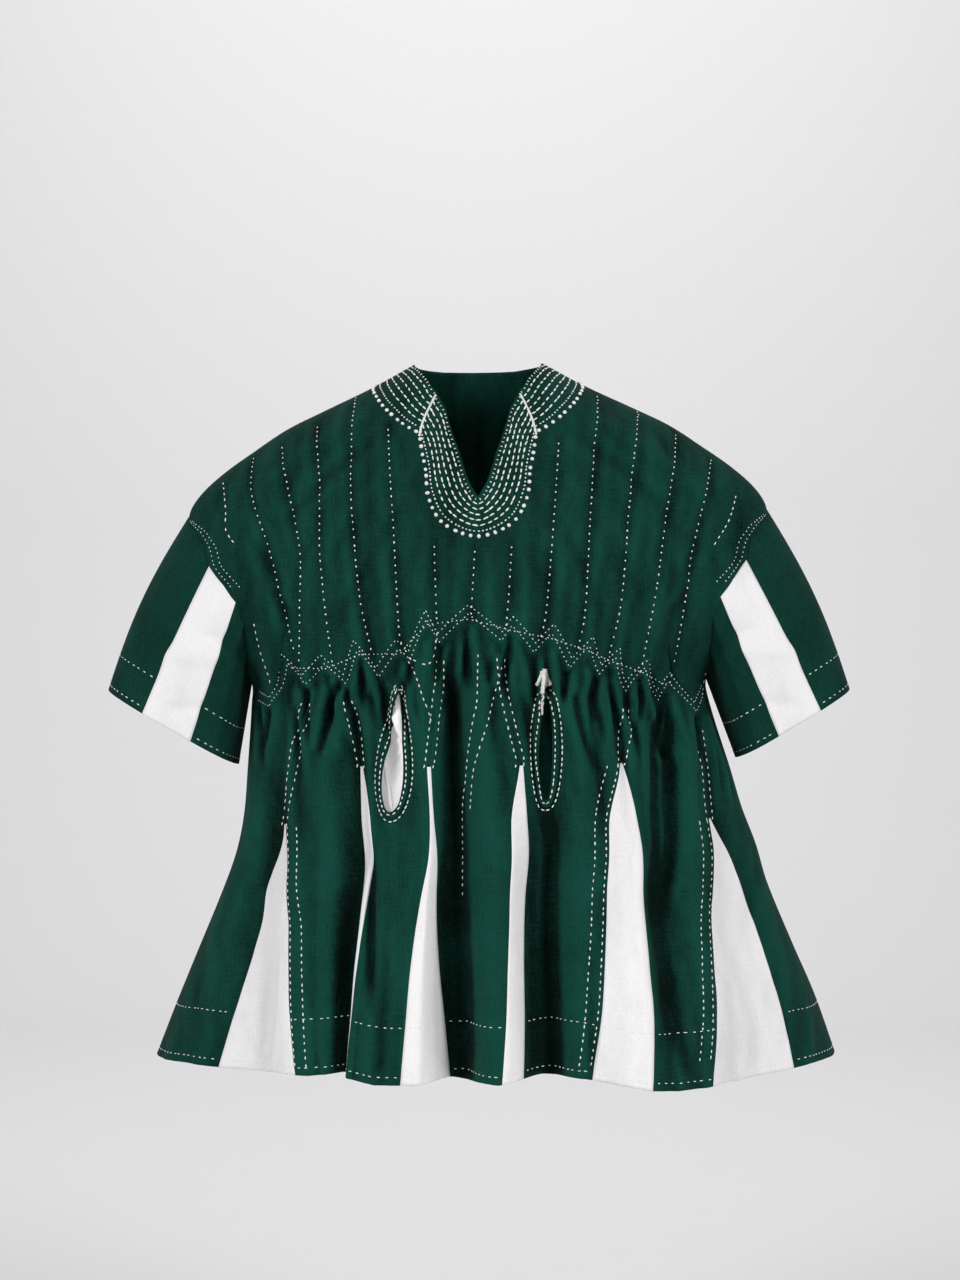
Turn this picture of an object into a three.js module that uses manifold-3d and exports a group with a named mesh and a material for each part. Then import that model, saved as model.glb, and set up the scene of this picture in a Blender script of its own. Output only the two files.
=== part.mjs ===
// Fugu smock: a loose strip-cloth smock with a dropped shoulder, wide striped sleeves and a gathered,
// gored skirt. Millimetres, +Z up, the front faces -Y. The origin is midway between the two neck ends
// of the shoulder seams.
import * as THREE from 'three';
import Module from 'manifold-3d';
import { mergeVertices } from 'three/addons/utils/BufferGeometryUtils.js';

const WALL = 1.6; // thickness of the cloth with its turnings
const SEAM_GAP = 0.3; // clearance between two pieces at a seam
const STEEPEST_BORDER = 0.2; // least sine between a border and the way its points are moved in
const SAME_POINT = 1e-4; // points closer than this are one
const BODY_STEPS = [0.3, 1]; // bearing and height across which the body's normal is measured
const SLEEVE_SURFACE_STEPS = [0.05, 0.01]; // column and part of the length for the sleeve's normal
const LEAN = 0.012; // the garment hangs a little higher on its +X side
const FRONT = -1;
const BACK = 1;
const LEFT = -1; // the -X side
const RIGHT = 1;
const QUARTER_TURN = 90;

// Level rings of the body from the neck to the hem: half width in x, depth in -y and in +y.
const BODY_RINGS = [
  { height: 0, centre: 0, halfWidth: 66, front: 50, back: 52 },
  { height: -24, centre: 0, halfWidth: 110, front: 63, back: 66 },
  { height: -48, centre: 0, halfWidth: 161, front: 72, back: 78 },
  { height: -66, centre: 0, halfWidth: 198, front: 80, back: 87 },
  { height: -89, centre: 0, halfWidth: 233, front: 90, back: 96 },
  { height: -111, centre: 0, halfWidth: 264, front: 98, back: 103 },
  { height: -133, centre: 0, halfWidth: 288, front: 105, back: 109 },
  { height: -154, centre: 0, halfWidth: 300, front: 110, back: 113 },
  { height: -200, centre: 0, halfWidth: 301, front: 118, back: 118 },
  { height: -245, centre: 0, halfWidth: 299, front: 122, back: 120 },
  { height: -268, centre: 0, halfWidth: 287, front: 124, back: 120 },
  { height: -290, centre: 0, halfWidth: 266, front: 125, back: 119 },
  { height: -310, centre: 0, halfWidth: 248, front: 126, back: 118 },
  { height: -330, centre: 1, halfWidth: 236, front: 127, back: 118 },
  { height: -349, centre: 2, halfWidth: 237, front: 129, back: 119 },
  { height: -416, centre: 10, halfWidth: 249, front: 140, back: 130 },
  { height: -461, centre: 15, halfWidth: 257, front: 153, back: 142 },
  { height: -500, centre: 19, halfWidth: 268, front: 166, back: 153 },
  { height: -540, centre: 18, halfWidth: 281, front: 179, back: 164 },
  { height: -605, centre: 18, halfWidth: 308, front: 200, back: 184 },
  { height: -657, centre: 18.5, halfWidth: 330, front: 217, back: 199 },
  { height: -730, centre: 17, halfWidth: 357, front: 240, back: 218 },
];

// Neck edge: a round neck with a slit down the centre front. Bearings turn from the centre line to the side.
const NECK_EDGE = {
  [FRONT]: [
    { bearing: 0, height: -143 },
    { bearing: 1.8, height: -128 },
    { bearing: 4.2, height: -98 },
    { bearing: 7.4, height: -72 },
    { bearing: 10.7, height: -53 },
    { bearing: 14.7, height: -42 },
    { bearing: 18.7, height: -34 },
    { bearing: 30, height: -20 },
    { bearing: 45, height: -10 },
    { bearing: 60, height: -5 },
    { bearing: 90, height: 0 },
  ],
  [BACK]: [
    { bearing: 0, height: -4 },
    { bearing: 30, height: -4 },
    { bearing: 60, height: -2 },
    { bearing: 90, height: 0 },
  ],
};

// Armhole seam: the bearing at which the yoke ends. Above it the shoulder seam runs along the ridge.
const ARMHOLE = [
  { height: -154, bearing: 90 },
  { height: -170, bearing: 74 },
  { height: -188, bearing: 68 },
  { height: -208, bearing: 66 },
  { height: -228, bearing: 59.5 },
  { height: -246, bearing: 55.5 },
  { height: -268, bearing: 56 },
  { height: -298, bearing: 66 },
  { height: -330, bearing: 90 },
];
const SHOULDER_ROWS = [0, -26, -58, -90, -122];

// Zigzag seam between the yoke and the gathered skirt.
const ZIGZAG = {
  [FRONT]: [
    { bearing: -90, height: -350 },
    { bearing: -74.6, height: -354 },
    { bearing: -64.7, height: -360 },
    { bearing: -50.5, height: -316 },
    { bearing: -47.5, height: -338 },
    { bearing: -38.2, height: -317 },
    { bearing: -34.3, height: -337 },
    { bearing: -27.3, height: -303 },
    { bearing: -24.8, height: -331 },
    { bearing: -17.7, height: -303 },
    { bearing: -15.5, height: -314 },
    { bearing: -10.2, height: -274 },
    { bearing: -8.4, height: -297 },
    { bearing: -1.9, height: -269 },
    { bearing: 5.0, height: -296 },
    { bearing: 6.9, height: -281 },
    { bearing: 12.7, height: -308 },
    { bearing: 15.5, height: -289 },
    { bearing: 22.1, height: -324 },
    { bearing: 25.1, height: -302 },
    { bearing: 30.3, height: -331 },
    { bearing: 33.3, height: -314 },
    { bearing: 38.5, height: -348 },
    { bearing: 43.5, height: -325 },
    { bearing: 50.3, height: -358 },
    { bearing: 55, height: -339 },
    { bearing: 66.5, height: -371 },
    { bearing: 76.8, height: -352 },
    { bearing: 90, height: -350 },
  ],
  [BACK]: [
    { bearing: -90, height: -350 },
    { bearing: -72, height: -352 },
    { bearing: -61, height: -357 },
    { bearing: -54, height: -324 },
    { bearing: -43, height: -343 },
    { bearing: -37, height: -313 },
    { bearing: -28, height: -336 },
    { bearing: -22, height: -300 },
    { bearing: -14, height: -322 },
    { bearing: -8, height: -286 },
    { bearing: 0, height: -306 },
    { bearing: 8, height: -284 },
    { bearing: 14, height: -320 },
    { bearing: 22, height: -302 },
    { bearing: 29, height: -334 },
    { bearing: 37, height: -311 },
    { bearing: 44, height: -342 },
    { bearing: 53, height: -322 },
    { bearing: 61, height: -358 },
    { bearing: 72, height: -352 },
    { bearing: 90, height: -350 },
  ],
};

// Seams between the strips that a yoke is sewn from, as columns of the body.
const YOKE_SEAMS = { [FRONT]: [-38.2, 0, 38.5], [BACK]: [-37, 0, 37] };

// Columns of the body, in bearing: further ones at the corners of the neck, the widest step, the closest pair.
const SLIT_COLUMNS = { [FRONT]: [-18.7, -4.2, 0, 3.2, 10.2, 18.7], [BACK]: [] };
const WIDEST_COLUMN = { [FRONT]: 5, [BACK]: 7 };
const CLOSEST_COLUMNS = 1.2;

// Levels at which every skirt panel has a row, so that neighbours share their seam. A gore starts on one.
const SKIRT_TOP_ROWS = 4; // rows between the zigzag seam and the first level
const SKIRT_LEVELS = [-412, -440, -470, -510, -560, -610, -662];
const GORE_MIDDLE = -572;
const GORE_UPPER_DROP = 58; // from the apex to the upper places
const HEM = -712;
const APEX_HALF_BEARING = 0.4;

// White gores let into the skirt: the bearing at the zigzag seam and the apex, then of both edges below it,
// a little under the apex, half way down and at the hem.
const GORES = {
  [FRONT]: [
    {
      seam: -47.5, apex: -54.4, apexHeight: -470,
      upper: [-56.1, -48.9], middle: [-53.6, -43.4], hem: [-51.6, -33],
    },
    {
      seam: -34.3, apex: -31.2, apexHeight: -412,
      upper: [-31.7, -28.2], middle: [-28.3, -26.4], hem: [-26, -24.4],
    },
    {
      seam: -8.4, apex: -13.3, apexHeight: -412,
      upper: [-13.9, -13], middle: [-15.2, -11.6], hem: [-14.6, -7.7],
    },
    {
      seam: 5.0, apex: 7.8, apexHeight: -412,
      upper: [3.7, 7.4], middle: [2.4, 5.5], hem: [0.9, 4.4],
    },
    {
      seam: 38.5, apex: 32.7, apexHeight: -412,
      upper: [25.5, 32.9], middle: [20.8, 29.1], hem: [15, 23.8],
    },
    {
      seam: 66.5, apex: 58.1, apexHeight: -470,
      upper: [52.6, 61.4], middle: [46.7, 61], hem: [35.6, 56.3],
    },
  ],
  [BACK]: [
    {
      seam: -61, apex: -57, apexHeight: -470,
      upper: [-57.8, -52], middle: [-57, -47], hem: [-55, -39],
    },
    {
      seam: -43, apex: -37, apexHeight: -412,
      upper: [-37.6, -34], middle: [-34.5, -29], hem: [-33, -24.5],
    },
    {
      seam: -14, apex: -13, apexHeight: -412,
      upper: [-14.4, -11.4], middle: [-15, -9.5], hem: [-15.5, -7],
    },
    {
      seam: 14, apex: 11, apexHeight: -412,
      upper: [8.8, 11.8], middle: [7.5, 12.5], hem: [6, 13.5],
    },
    {
      seam: 44, apex: 36, apexHeight: -412,
      upper: [31.5, 35], middle: [26.5, 33], hem: [22.5, 30.5],
    },
    {
      seam: 61, apex: 57, apexHeight: -470,
      upper: [51.5, 57.6], middle: [46, 57], hem: [39, 55],
    },
  ],
};

// Skirt folds, crests and valleys in turn: bearing and outward depth at four levels, and the hem's height.
const FOLD_LEVELS = [-347, -446, -545, -712];
const FOLDS = {
  [FRONT]: [
    { bearing: [-90, -90, -90, -90], out: [0, 0, 0, 0], hem: -710 },
    { bearing: [-66, -66, -65, -61], out: [0, 6, 10, 10], hem: -705 },
    { bearing: [-57, -57, -51, -41], out: [2, -2, -4, -8], hem: -708 },
    { bearing: [-50, -51, -43, -30.6], out: [4, 6, 10, 14], hem: -706 },
    { bearing: [-42, -41, -36.5, -28.1], out: [4, 8, 6, 4], hem: -706 },
    { bearing: [-33, -32, -30, -26], out: [-2, -10, -20, -26], hem: -707 },
    { bearing: [-28.4, -28.2, -27, -23.8], out: [-2, 0, 4, 8], hem: -708 },
    { bearing: [-22.5, -22.3, -21.3, -18.8], out: [-4, 6, 12, 18], hem: -712 },
    { bearing: [-13.5, -14.3, -13.9, -12], out: [4, 6, 10, 22], hem: -711 },
    { bearing: [-7, -9.6, -10.5, -7.5], out: [-12, -16, -22, -30], hem: -710 },
    { bearing: [2.2, -0.8, -0.6, 0.4], out: [6, 10, 14, 22], hem: -711 },
    { bearing: [15.7, 12, 9.8, 7.8], out: [-6, -6, -22, -26], hem: -708 },
    { bearing: [24.7, 20.6, 17.3, 14], out: [0, 8, 10, 8], hem: -709 },
    { bearing: [37.6, 32.8, 28.6, 23.4], out: [2, 6, 12, 28], hem: -720 },
    { bearing: [51.5, 44.1, 34.5, 28.4], out: [-8, -12, -10, 18], hem: -723 },
    { bearing: [63, 52.4, 43.4, 33.5], out: [4, 4, 6, 14], hem: -723 },
    { bearing: [70, 61.8, 52.5, 42.9], out: [-2, -2, -4, -6], hem: -722 },
    { bearing: [77, 76, 68, 61], out: [2, 4, 6, 8], hem: -714 },
    { bearing: [90, 90, 90, 90], out: [0, 0, 0, 0], hem: -715 },
  ],
  [BACK]: [
    { bearing: [-90, -90, -90, -90], out: [0, 0, 0, 0], hem: -710 },
    { bearing: [-69, -69, -67, -64], out: [0, 5, 9, 10], hem: -708 },
    { bearing: [-59, -57, -53, -48], out: [-2, -4, -6, -9], hem: -706 },
    { bearing: [-48, -46, -42, -37], out: [3, 6, 11, 16], hem: -708 },
    { bearing: [-37, -36, -34, -30], out: [-2, -8, -15, -22], hem: -705 },
    { bearing: [-27, -27, -26, -22], out: [2, 7, 12, 18], hem: -709 },
    { bearing: [-17, -16, -15, -14], out: [-4, -9, -15, -22], hem: -704 },
    { bearing: [-7, -7, -6, -5], out: [4, 8, 13, 20], hem: -710 },
    { bearing: [3, 2, 2, 3], out: [-6, -10, -17, -26], hem: -705 },
    { bearing: [13, 12, 11, 11], out: [3, 7, 12, 19], hem: -709 },
    { bearing: [22, 21, 20, 19], out: [-3, -8, -13, -18], hem: -706 },
    { bearing: [32, 31, 29, 27], out: [4, 7, 13, 22], hem: -712 },
    { bearing: [43, 41, 38, 35], out: [-4, -8, -11, -14], hem: -710 },
    { bearing: [54, 51, 47, 43], out: [3, 6, 10, 15], hem: -714 },
    { bearing: [64, 61, 57, 52], out: [-2, -4, -6, -8], hem: -712 },
    { bearing: [76, 74, 70, 65], out: [2, 5, 8, 9], hem: -714 },
    { bearing: [90, 90, 90, 90], out: [0, 0, 0, 0], hem: -715 },
  ],
};
const FOLD_START = { centre: -262, side: -347 }; // above this the body is smooth
const FOLD_GROWTH = 90; // the drop in which the folds reach their full depth

// Sleeves: the cuff ellipse from its outer to its inner end, its half depth in y, the swell of the top.
const CUFFS = {
  [LEFT]: { outer: [-384, -338], inner: [-249, -416] },
  [RIGHT]: { outer: [386, -337], inner: [268, -409] },
};
const CUFF_HALF_DEPTH = 70;
const CUFF_CENTRE_Y = 4;
const SLEEVE_SWELL = 8;
const SLEEVE_LIFT = 0.5; // how much the outward direction on top of the sleeve leans upward
const SLEEVE_STEPS = 6;
const SEAM_LOOK = 0.1; // part of the sleeve's length over which its way out of the armhole is measured
// Soft folds along a sleeve: the part of the way round, their width, and their outward depth at the cuff.
const SLEEVE_FOLDS = [
  { round: 0.1, width: 0.05, out: 3 },
  { round: 0.27, width: 0.05, out: -6 },
  { round: 0.37, width: 0.045, out: 6 },
  { round: 0.62, width: 0.05, out: 5 },
  { round: 0.75, width: 0.05, out: -6 },
  { round: 0.88, width: 0.05, out: 3 },
];
// Where the columns of a sleeve lie at the armhole (height) and at the cuff (part of the way round).
const SLEEVE_COLUMNS = [
  { armhole: -154, cuff: 0 },
  { armhole: -170, cuff: 0.088 },
  { armhole: -188, cuff: 0.14 },
  { armhole: -208, cuff: 0.187 },
  { armhole: -228, cuff: 0.247 },
  { armhole: -246, cuff: 0.308 },
  { armhole: -268, cuff: 0.362 },
  { armhole: -298, cuff: 0.425 },
  { armhole: -330, cuff: 0.5 },
];
const STRIPS = [
  { name: 'top', from: -3, to: 3, cloth: 'green' },
  { name: 'front_white', from: 3, to: 5, cloth: 'white' },
  { name: 'under', from: 5, to: 11, cloth: 'green' },
  { name: 'back_white', from: 11, to: 13, cloth: 'white' },
];

// Pocket slits in the front skirt: top and bottom point (x, height), greatest width, and where that lies.
const POCKETS = [
  { name: 'left', panel: 3, top: [-80, -341], bottom: [-85, -458], width: 18, skew: 1.7, bag: true },
  { name: 'right', panel: 5, top: [69, -346], bottom: [68, -446], width: 12, skew: 1, bag: false },
];
const SLIT_STEPS = 8;
const SLIT_ROUNDING = 0.6; // exponent of the slit's width along its length: less is rounder
const WELT_ROUNDING = 0.4;
const SLIT_CUT = { start: 60, length: 120 }; // the cut runs forward from here, away from the centre
const WELT = { inner: 0.6, outer: 7.5, lift: 0.9, thickness: 1.2 };
const BAG = { margin: 12, topMargin: -2, depth: 15, lift: 1.2, columns: 6, rows: 10 };

const COLOURS = { green: 0x18463a, white: 0xeeecea };
const ROUGHNESS = { green: 0.86, white: 0.9 };

const wasm = await Module();
wasm.setup();

const mix = (from, to, part) => from + (to - from) * part;
const radians = THREE.MathUtils.degToRad;
const smooth = (part) => THREE.MathUtils.smoothstep(part, 0, 1);

// Straight interpolation in a table whose rows go one way in the column `by`.
function straight(table, by, value, column) {
  const rising = table[table.length - 1][by] > table[0][by] ? 1 : -1;
  let row = 1;
  while (row < table.length - 1 && (table[row][by] - value) * rising < 0) row += 1;
  const before = table[row - 1];
  const after = table[row];
  const part = THREE.MathUtils.clamp((value - before[by]) / (after[by] - before[by]), 0, 1);
  return mix(before[column], after[column], part);
}

// A smooth curve through points whose places are `knots`: cubic pieces with the mean slope at each point.
function curve(knots, values, at) {
  const last = knots.length - 1;
  const rising = Math.sign(knots[last] - knots[0]);
  let i = 0;
  while (i < last - 1 && (knots[i + 1] - at) * rising < 0) i += 1;
  const slope = (k) => {
    const low = Math.max(k - 1, 0);
    const high = Math.min(k + 1, last);
    return (values[high] - values[low]) / (knots[high] - knots[low]);
  };
  const span = knots[i + 1] - knots[i];
  const t = THREE.MathUtils.clamp((at - knots[i]) / span, 0, 1);
  const t2 = t * t;
  const t3 = t2 * t;
  return (2 * t3 - 3 * t2 + 1) * values[i] + (t3 - 2 * t2 + t) * span * slope(i)
    + (3 * t2 - 2 * t3) * values[i + 1] + (t3 - t2) * span * slope(i + 1);
}

const RING_HEIGHTS = BODY_RINGS.map((ring) => ring.height);
const ringSize = (name, height) => curve(RING_HEIGHTS, BODY_RINGS.map((ring) => ring[name]), height);

// How far the cloth stands out in a fold, easing from each crest to the next valley.
function foldDepth(side, bearing, height) {
  const start = mix(FOLD_START.centre, FOLD_START.side, Math.sin(radians(bearing)) ** 2);
  const growth = smooth((start - height) / FOLD_GROWTH);
  if (growth === 0) return 0;
  const rows = FOLDS[side];
  const place = (row) => curve(FOLD_LEVELS, row.bearing, height);
  let i = 1;
  while (i < rows.length - 1 && place(rows[i]) < bearing) i += 1;
  const from = place(rows[i - 1]);
  const part = smooth((bearing - from) / (place(rows[i]) - from));
  const depths = [rows[i - 1], rows[i]].map((row) => curve(FOLD_LEVELS, row.out, height));
  return mix(depths[0], depths[1], part) * growth;
}

// The outer face of the body: an ellipse at each height, moved out along its own normal by the folds.
function bodyPoint(side, bearing, height) {
  const angle = radians(bearing);
  const halfWidth = ringSize('halfWidth', height);
  const depth = ringSize(side === FRONT ? 'front' : 'back', height);
  const normal = new THREE.Vector3(Math.sin(angle) / halfWidth, side * Math.cos(angle) / depth, 0);
  const x = ringSize('centre', height) + halfWidth * Math.sin(angle);
  const point = new THREE.Vector3(x, side * depth * Math.cos(angle), height);
  point.addScaledVector(normal.normalize(), foldDepth(side, THREE.MathUtils.clamp(bearing, -90, 90), height));
  point.z += LEAN * point.x;
  return point;
}

function cuffPoint(arm, round) {
  const { outer, inner } = CUFFS[arm];
  const angle = 2 * Math.PI * round;
  const along = (1 - Math.cos(angle)) / 2;
  const x = mix(outer[0], inner[0], along);
  const y = CUFF_CENTRE_Y - CUFF_HALF_DEPTH * Math.sin(angle);
  return new THREE.Vector3(x, y, mix(outer[1], inner[1], along));
}

// A sleeve column as its side, its height at the armhole seam and its part of the way round the cuff.
function sleeveColumn(column) {
  const last = SLEEVE_COLUMNS.length - 1;
  const wrapped = ((column % (2 * last)) + 2 * last) % (2 * last);
  const side = wrapped <= last ? FRONT : BACK;
  const place = side === FRONT ? wrapped : 2 * last - wrapped;
  const row = Math.min(Math.floor(place), last - 1);
  const [before, after] = [SLEEVE_COLUMNS[row], SLEEVE_COLUMNS[row + 1]];
  const armhole = mix(before.armhole, after.armhole, place - row);
  const cuff = mix(before.cuff, after.cuff, place - row);
  return { side, armhole, round: side === FRONT ? cuff : 1 - cuff };
}

// The outer face of a sleeve: straight from the armhole seam to the cuff, swelling at the top, folded lengthwise.
// `column` counts round the sleeve from its top edge over the front, `along` goes from armhole to cuff.
function sleevePoint(arm, column, along) {
  const { side, armhole, round } = sleeveColumn(column);
  const seam = bodyPoint(side, arm * straight(ARMHOLE, 'height', armhole, 'bearing'), armhole);
  const angle = 2 * Math.PI * round;
  const swell = SLEEVE_SWELL * Math.sin(Math.PI * along) * Math.max(0, Math.cos(angle));
  const ridges = SLEEVE_FOLDS.map((fold) => fold.out * Math.exp(-(((round - fold.round) / fold.width) ** 2)));
  const folds = ridges.reduce((sum, ridge) => sum + ridge, 0) * smooth(along);
  const outward = new THREE.Vector3(arm * Math.cos(angle), -Math.sin(angle), SLEEVE_LIFT * Math.cos(angle));
  return seam.lerp(cuffPoint(arm, round), along).addScaledVector(outward.normalize(), swell + folds);
}

// Unit normal of a surface, from two differences across the place; `turn` makes it point out of the garment.
function normalAt(surface, place, steps, turn) {
  const [u, v] = place;
  const acrossU = surface(u + steps[0], v).sub(surface(u - steps[0], v));
  const acrossV = surface(u, v + steps[1]).sub(surface(u, v - steps[1]));
  return acrossU.cross(acrossV).normalize().multiplyScalar(turn);
}

// The direction halfway between the normals of the yoke and the sleeve, which both take at their shared seam.
function armholeNormal(arm, column) {
  const { side, armhole } = sleeveColumn(column);
  const bearing = arm * straight(ARMHOLE, 'height', armhole, 'bearing');
  const body = normalAt((u, v) => bodyPoint(side, u, v), [bearing, armhole], BODY_STEPS, -side);
  const sleeve = normalAt((u, v) => sleevePoint(arm, u, v), [column, 0], SLEEVE_SURFACE_STEPS, arm);
  const outOfSeam = sleevePoint(arm, column, SEAM_LOOK).sub(sleevePoint(arm, column, 0));
  return outOfSeam.dot(body) > 0 ? null : body.add(sleeve).normalize();
}

// Moves the border points of a net towards their inner neighbours by half the seam gap.
function trimmed(net) {
  const rows = net.length - 1;
  const columns = net[0].length - 1;
  const towards = (from, to, border) => {
    const inward = to.clone().sub(from).normalize();
    const sine = inward.clone().cross(border.normalize()).length();
    return inward.multiplyScalar(SEAM_GAP / 2 / Math.max(sine, STEEPEST_BORDER));
  };
  const alongRow = (r, c) => net[r][Math.min(c + 1, columns)].clone().sub(net[r][Math.max(c - 1, 0)]);
  const alongColumn = (r, c) => net[Math.min(r + 1, rows)][c].clone().sub(net[Math.max(r - 1, 0)][c]);
  return net.map((row, r) => row.map((point, c) => {
    const moved = point.clone();
    if (r === 0) moved.add(towards(point, net[1][c], alongRow(r, c)));
    if (r === rows) moved.add(towards(point, net[rows - 1][c], alongRow(r, c)));
    if (c === 0) moved.add(towards(point, net[r][1], alongColumn(r, c)));
    if (c === columns) moved.add(towards(point, net[r][columns - 1], alongColumn(r, c)));
    return moved;
  }));
}

// Two triangles for a cell, cut along its shorter diagonal.
function cell(points, a, b, c, d) {
  const straightAcross = points[a].distanceTo(points[c]) <= points[b].distanceTo(points[d]);
  return straightAcross ? [a, b, c, a, c, d] : [a, b, d, b, c, d];
}

// A closed wall between an outer and an inner net of points.
function wallGeometry(outer, inner) {
  const rows = outer.length;
  const columns = outer[0].length;
  const points = [...outer.flat(), ...inner.flat()];
  const index = (layer, r, c) => layer * rows * columns + r * columns + c;
  const faces = [];
  for (let r = 0; r < rows - 1; r += 1) {
    for (let c = 0; c < columns - 1; c += 1) {
      const corners = [[r, c], [r, c + 1], [r + 1, c + 1], [r + 1, c]];
      faces.push(...cell(points, ...corners.map((corner) => index(0, ...corner))));
      faces.push(...cell(points, ...corners.map((corner) => index(1, ...corner))).reverse());
    }
  }
  const border = [];
  for (let c = 0; c < columns - 1; c += 1) border.push([0, c]);
  for (let r = 0; r < rows - 1; r += 1) border.push([r, columns - 1]);
  for (let c = columns - 1; c > 0; c -= 1) border.push([rows - 1, c]);
  for (let r = rows - 1; r > 0; r -= 1) border.push([r, 0]);
  border.forEach(([r, c], i) => {
    const [nextRow, nextColumn] = border[(i + 1) % border.length];
    const from = index(0, r, c);
    const to = index(0, nextRow, nextColumn);
    const innerFrom = index(1, r, c);
    const innerTo = index(1, nextRow, nextColumn);
    // Both neighbours at a seam cut this strip from the same outer to the same inner corner.
    const forward = nextRow > r || nextColumn > c;
    const forwardStrip = [from, innerFrom, innerTo, from, innerTo, to];
    const backwardStrip = [to, from, innerFrom, to, innerFrom, innerTo];
    faces.push(...(forward ? forwardStrip : backwardStrip));
  });
  return facingOut(points, faces);
}

// A geometry whose faces enclose a positive volume.
function facingOut(points, faces) {
  let volume = 0;
  for (let f = 0; f < faces.length; f += 3) {
    const [a, b, c] = [points[faces[f]], points[faces[f + 1]], points[faces[f + 2]]];
    volume += a.dot(b.clone().cross(c));
  }
  const geometry = new THREE.BufferGeometry();
  geometry.setAttribute('position', new THREE.Float32BufferAttribute(points.flatMap((p) => p.toArray()), 3));
  geometry.setIndex(volume < 0 ? [...faces].reverse() : faces);
  return geometry;
}

// The wall of cloth under a net of places on a surface, its outer face on the surface.
// `seamNormal` gives the direction through the wall where two pieces share it, else null.
function clothWall(surface, places, steps, turn, seamNormal = () => null) {
  const outer = trimmed(places.map((row) => row.map(([u, v]) => surface(u, v))));
  const inner = outer.map((row, r) => row.map((point, c) => {
    const normal = seamNormal(r, c) ?? normalAt(surface, places[r][c], steps, turn);
    return point.clone().addScaledVector(normal, -WALL);
  }));
  return wallGeometry(outer, inner);
}

function named(name, cloth, geometry) {
  const look = { color: COLOURS[cloth], roughness: ROUGHNESS[cloth], metalness: 0 };
  const material = new THREE.MeshStandardMaterial(look);
  material.name = cloth;
  const mesh = new THREE.Mesh(geometry, material);
  mesh.name = name;
  return mesh;
}

// Bearings from one edge to the other that include each given place, with no step wider than `widest`.
function spread(from, to, between, widest) {
  const fixed = between.filter((place) => place > from && place < to);
  const stops = [from, ...fixed, to];
  const result = [from];
  for (let i = 1; i < stops.length; i += 1) {
    const steps = Math.ceil((stops[i] - stops[i - 1]) / widest);
    for (let k = 1; k <= steps; k += 1) result.push(mix(stops[i - 1], stops[i], k / steps));
  }
  return result;
}

const zigzagHeight = (side, bearing) => straight(ZIGZAG[side], 'bearing', bearing, 'height');
const neckHeight = (side, bearing) => straight(NECK_EDGE[side], 'bearing', Math.abs(bearing), 'height');

// Bearings of the columns that the yoke and the skirt share at their seam.
function seamColumns(side) {
  const tips = ZIGZAG[side].map((row) => row.bearing);
  const clear = (place) => tips.every((tip) => Math.abs(tip - place) > CLOSEST_COLUMNS);
  const extra = SLIT_COLUMNS[side].filter(clear);
  return spread(-QUARTER_TURN, QUARTER_TURN, [...tips, ...extra].sort((a, b) => a - b), WIDEST_COLUMN[side]);
}

// One strip of a yoke: columns fan out from the neck edge to the zigzag seam, rows follow shoulder and armhole.
function yokeStrip(side, first, last) {
  const seamEnd = ZIGZAG[side][0].height;
  const edgeRows = [...SHOULDER_ROWS, ...ARMHOLE.map((row) => row.height), seamEnd];
  const columns = seamColumns(side).filter((column) => column >= first && column <= last);
  const places = edgeRows.map((edgeHeight) => columns.map((column) => {
    const height = mix(neckHeight(side, column), zigzagHeight(side, column), edgeHeight / seamEnd);
    const edge = straight(ARMHOLE, 'height', edgeHeight, 'bearing');
    const share = Math.abs(column) / QUARTER_TURN;
    const bearing = column * mix(1, edge / QUARTER_TURN, share);
    return [bearing, height];
  }));
  const armholeStart = SHOULDER_ROWS.length;
  const armholeEnd = armholeStart + ARMHOLE.length - 1;
  const seamNormal = (row, column) => {
    const atEdge = Math.abs(columns[column]) === QUARTER_TURN;
    if (!atEdge || row < armholeStart || row > armholeEnd) return null;
    return armholeNormal(columns[column] < 0 ? LEFT : RIGHT, -side * (row - armholeStart));
  };
  return clothWall((u, v) => bodyPoint(side, u, v), places, BODY_STEPS, -side, seamNormal);
}

// The yoke of one side, sewn from its strips.
function yoke(side, label) {
  const ends = [-QUARTER_TURN, ...YOKE_SEAMS[side], QUARTER_TURN];
  const group = new THREE.Group();
  ends.slice(1).forEach((end, k) => {
    group.add(named(`yoke_${label}_${k + 1}`, 'green', yokeStrip(side, ends[k], end)));
  });
  return group;
}

// The bearing of a gore's left (0) or right (1) edge; above the apex both lie on the seam between two panels.
function goreEdge(side, gore, edge, height) {
  if (height > gore.apexHeight) {
    const top = zigzagHeight(side, gore.seam);
    return mix(gore.seam, gore.apex, THREE.MathUtils.clamp((height - top) / (gore.apexHeight - top), 0, 1));
  }
  const apex = gore.apex + (edge ? APEX_HALF_BEARING : -APEX_HALF_BEARING);
  const knots = [gore.apexHeight, gore.apexHeight - GORE_UPPER_DROP, GORE_MIDDLE, HEM];
  return curve(knots, [apex, gore.upper[edge], gore.middle[edge], gore.hem[edge]], height);
}

function hemHeight(side, bearing) {
  const hem = FOLDS[side].map((row) => ({ bearing: row.bearing[FOLD_LEVELS.length - 1], height: row.hem }));
  return straight(hem, 'bearing', bearing, 'height');
}

// A row of places across a skirt panel; the top and the hem row follow the zigzag seam and the hem line.
function skirtRow(panel, fractions, height) {
  return fractions.map((fraction) => [mix(panel.left(height), panel.right(height), fraction), height]);
}

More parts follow.
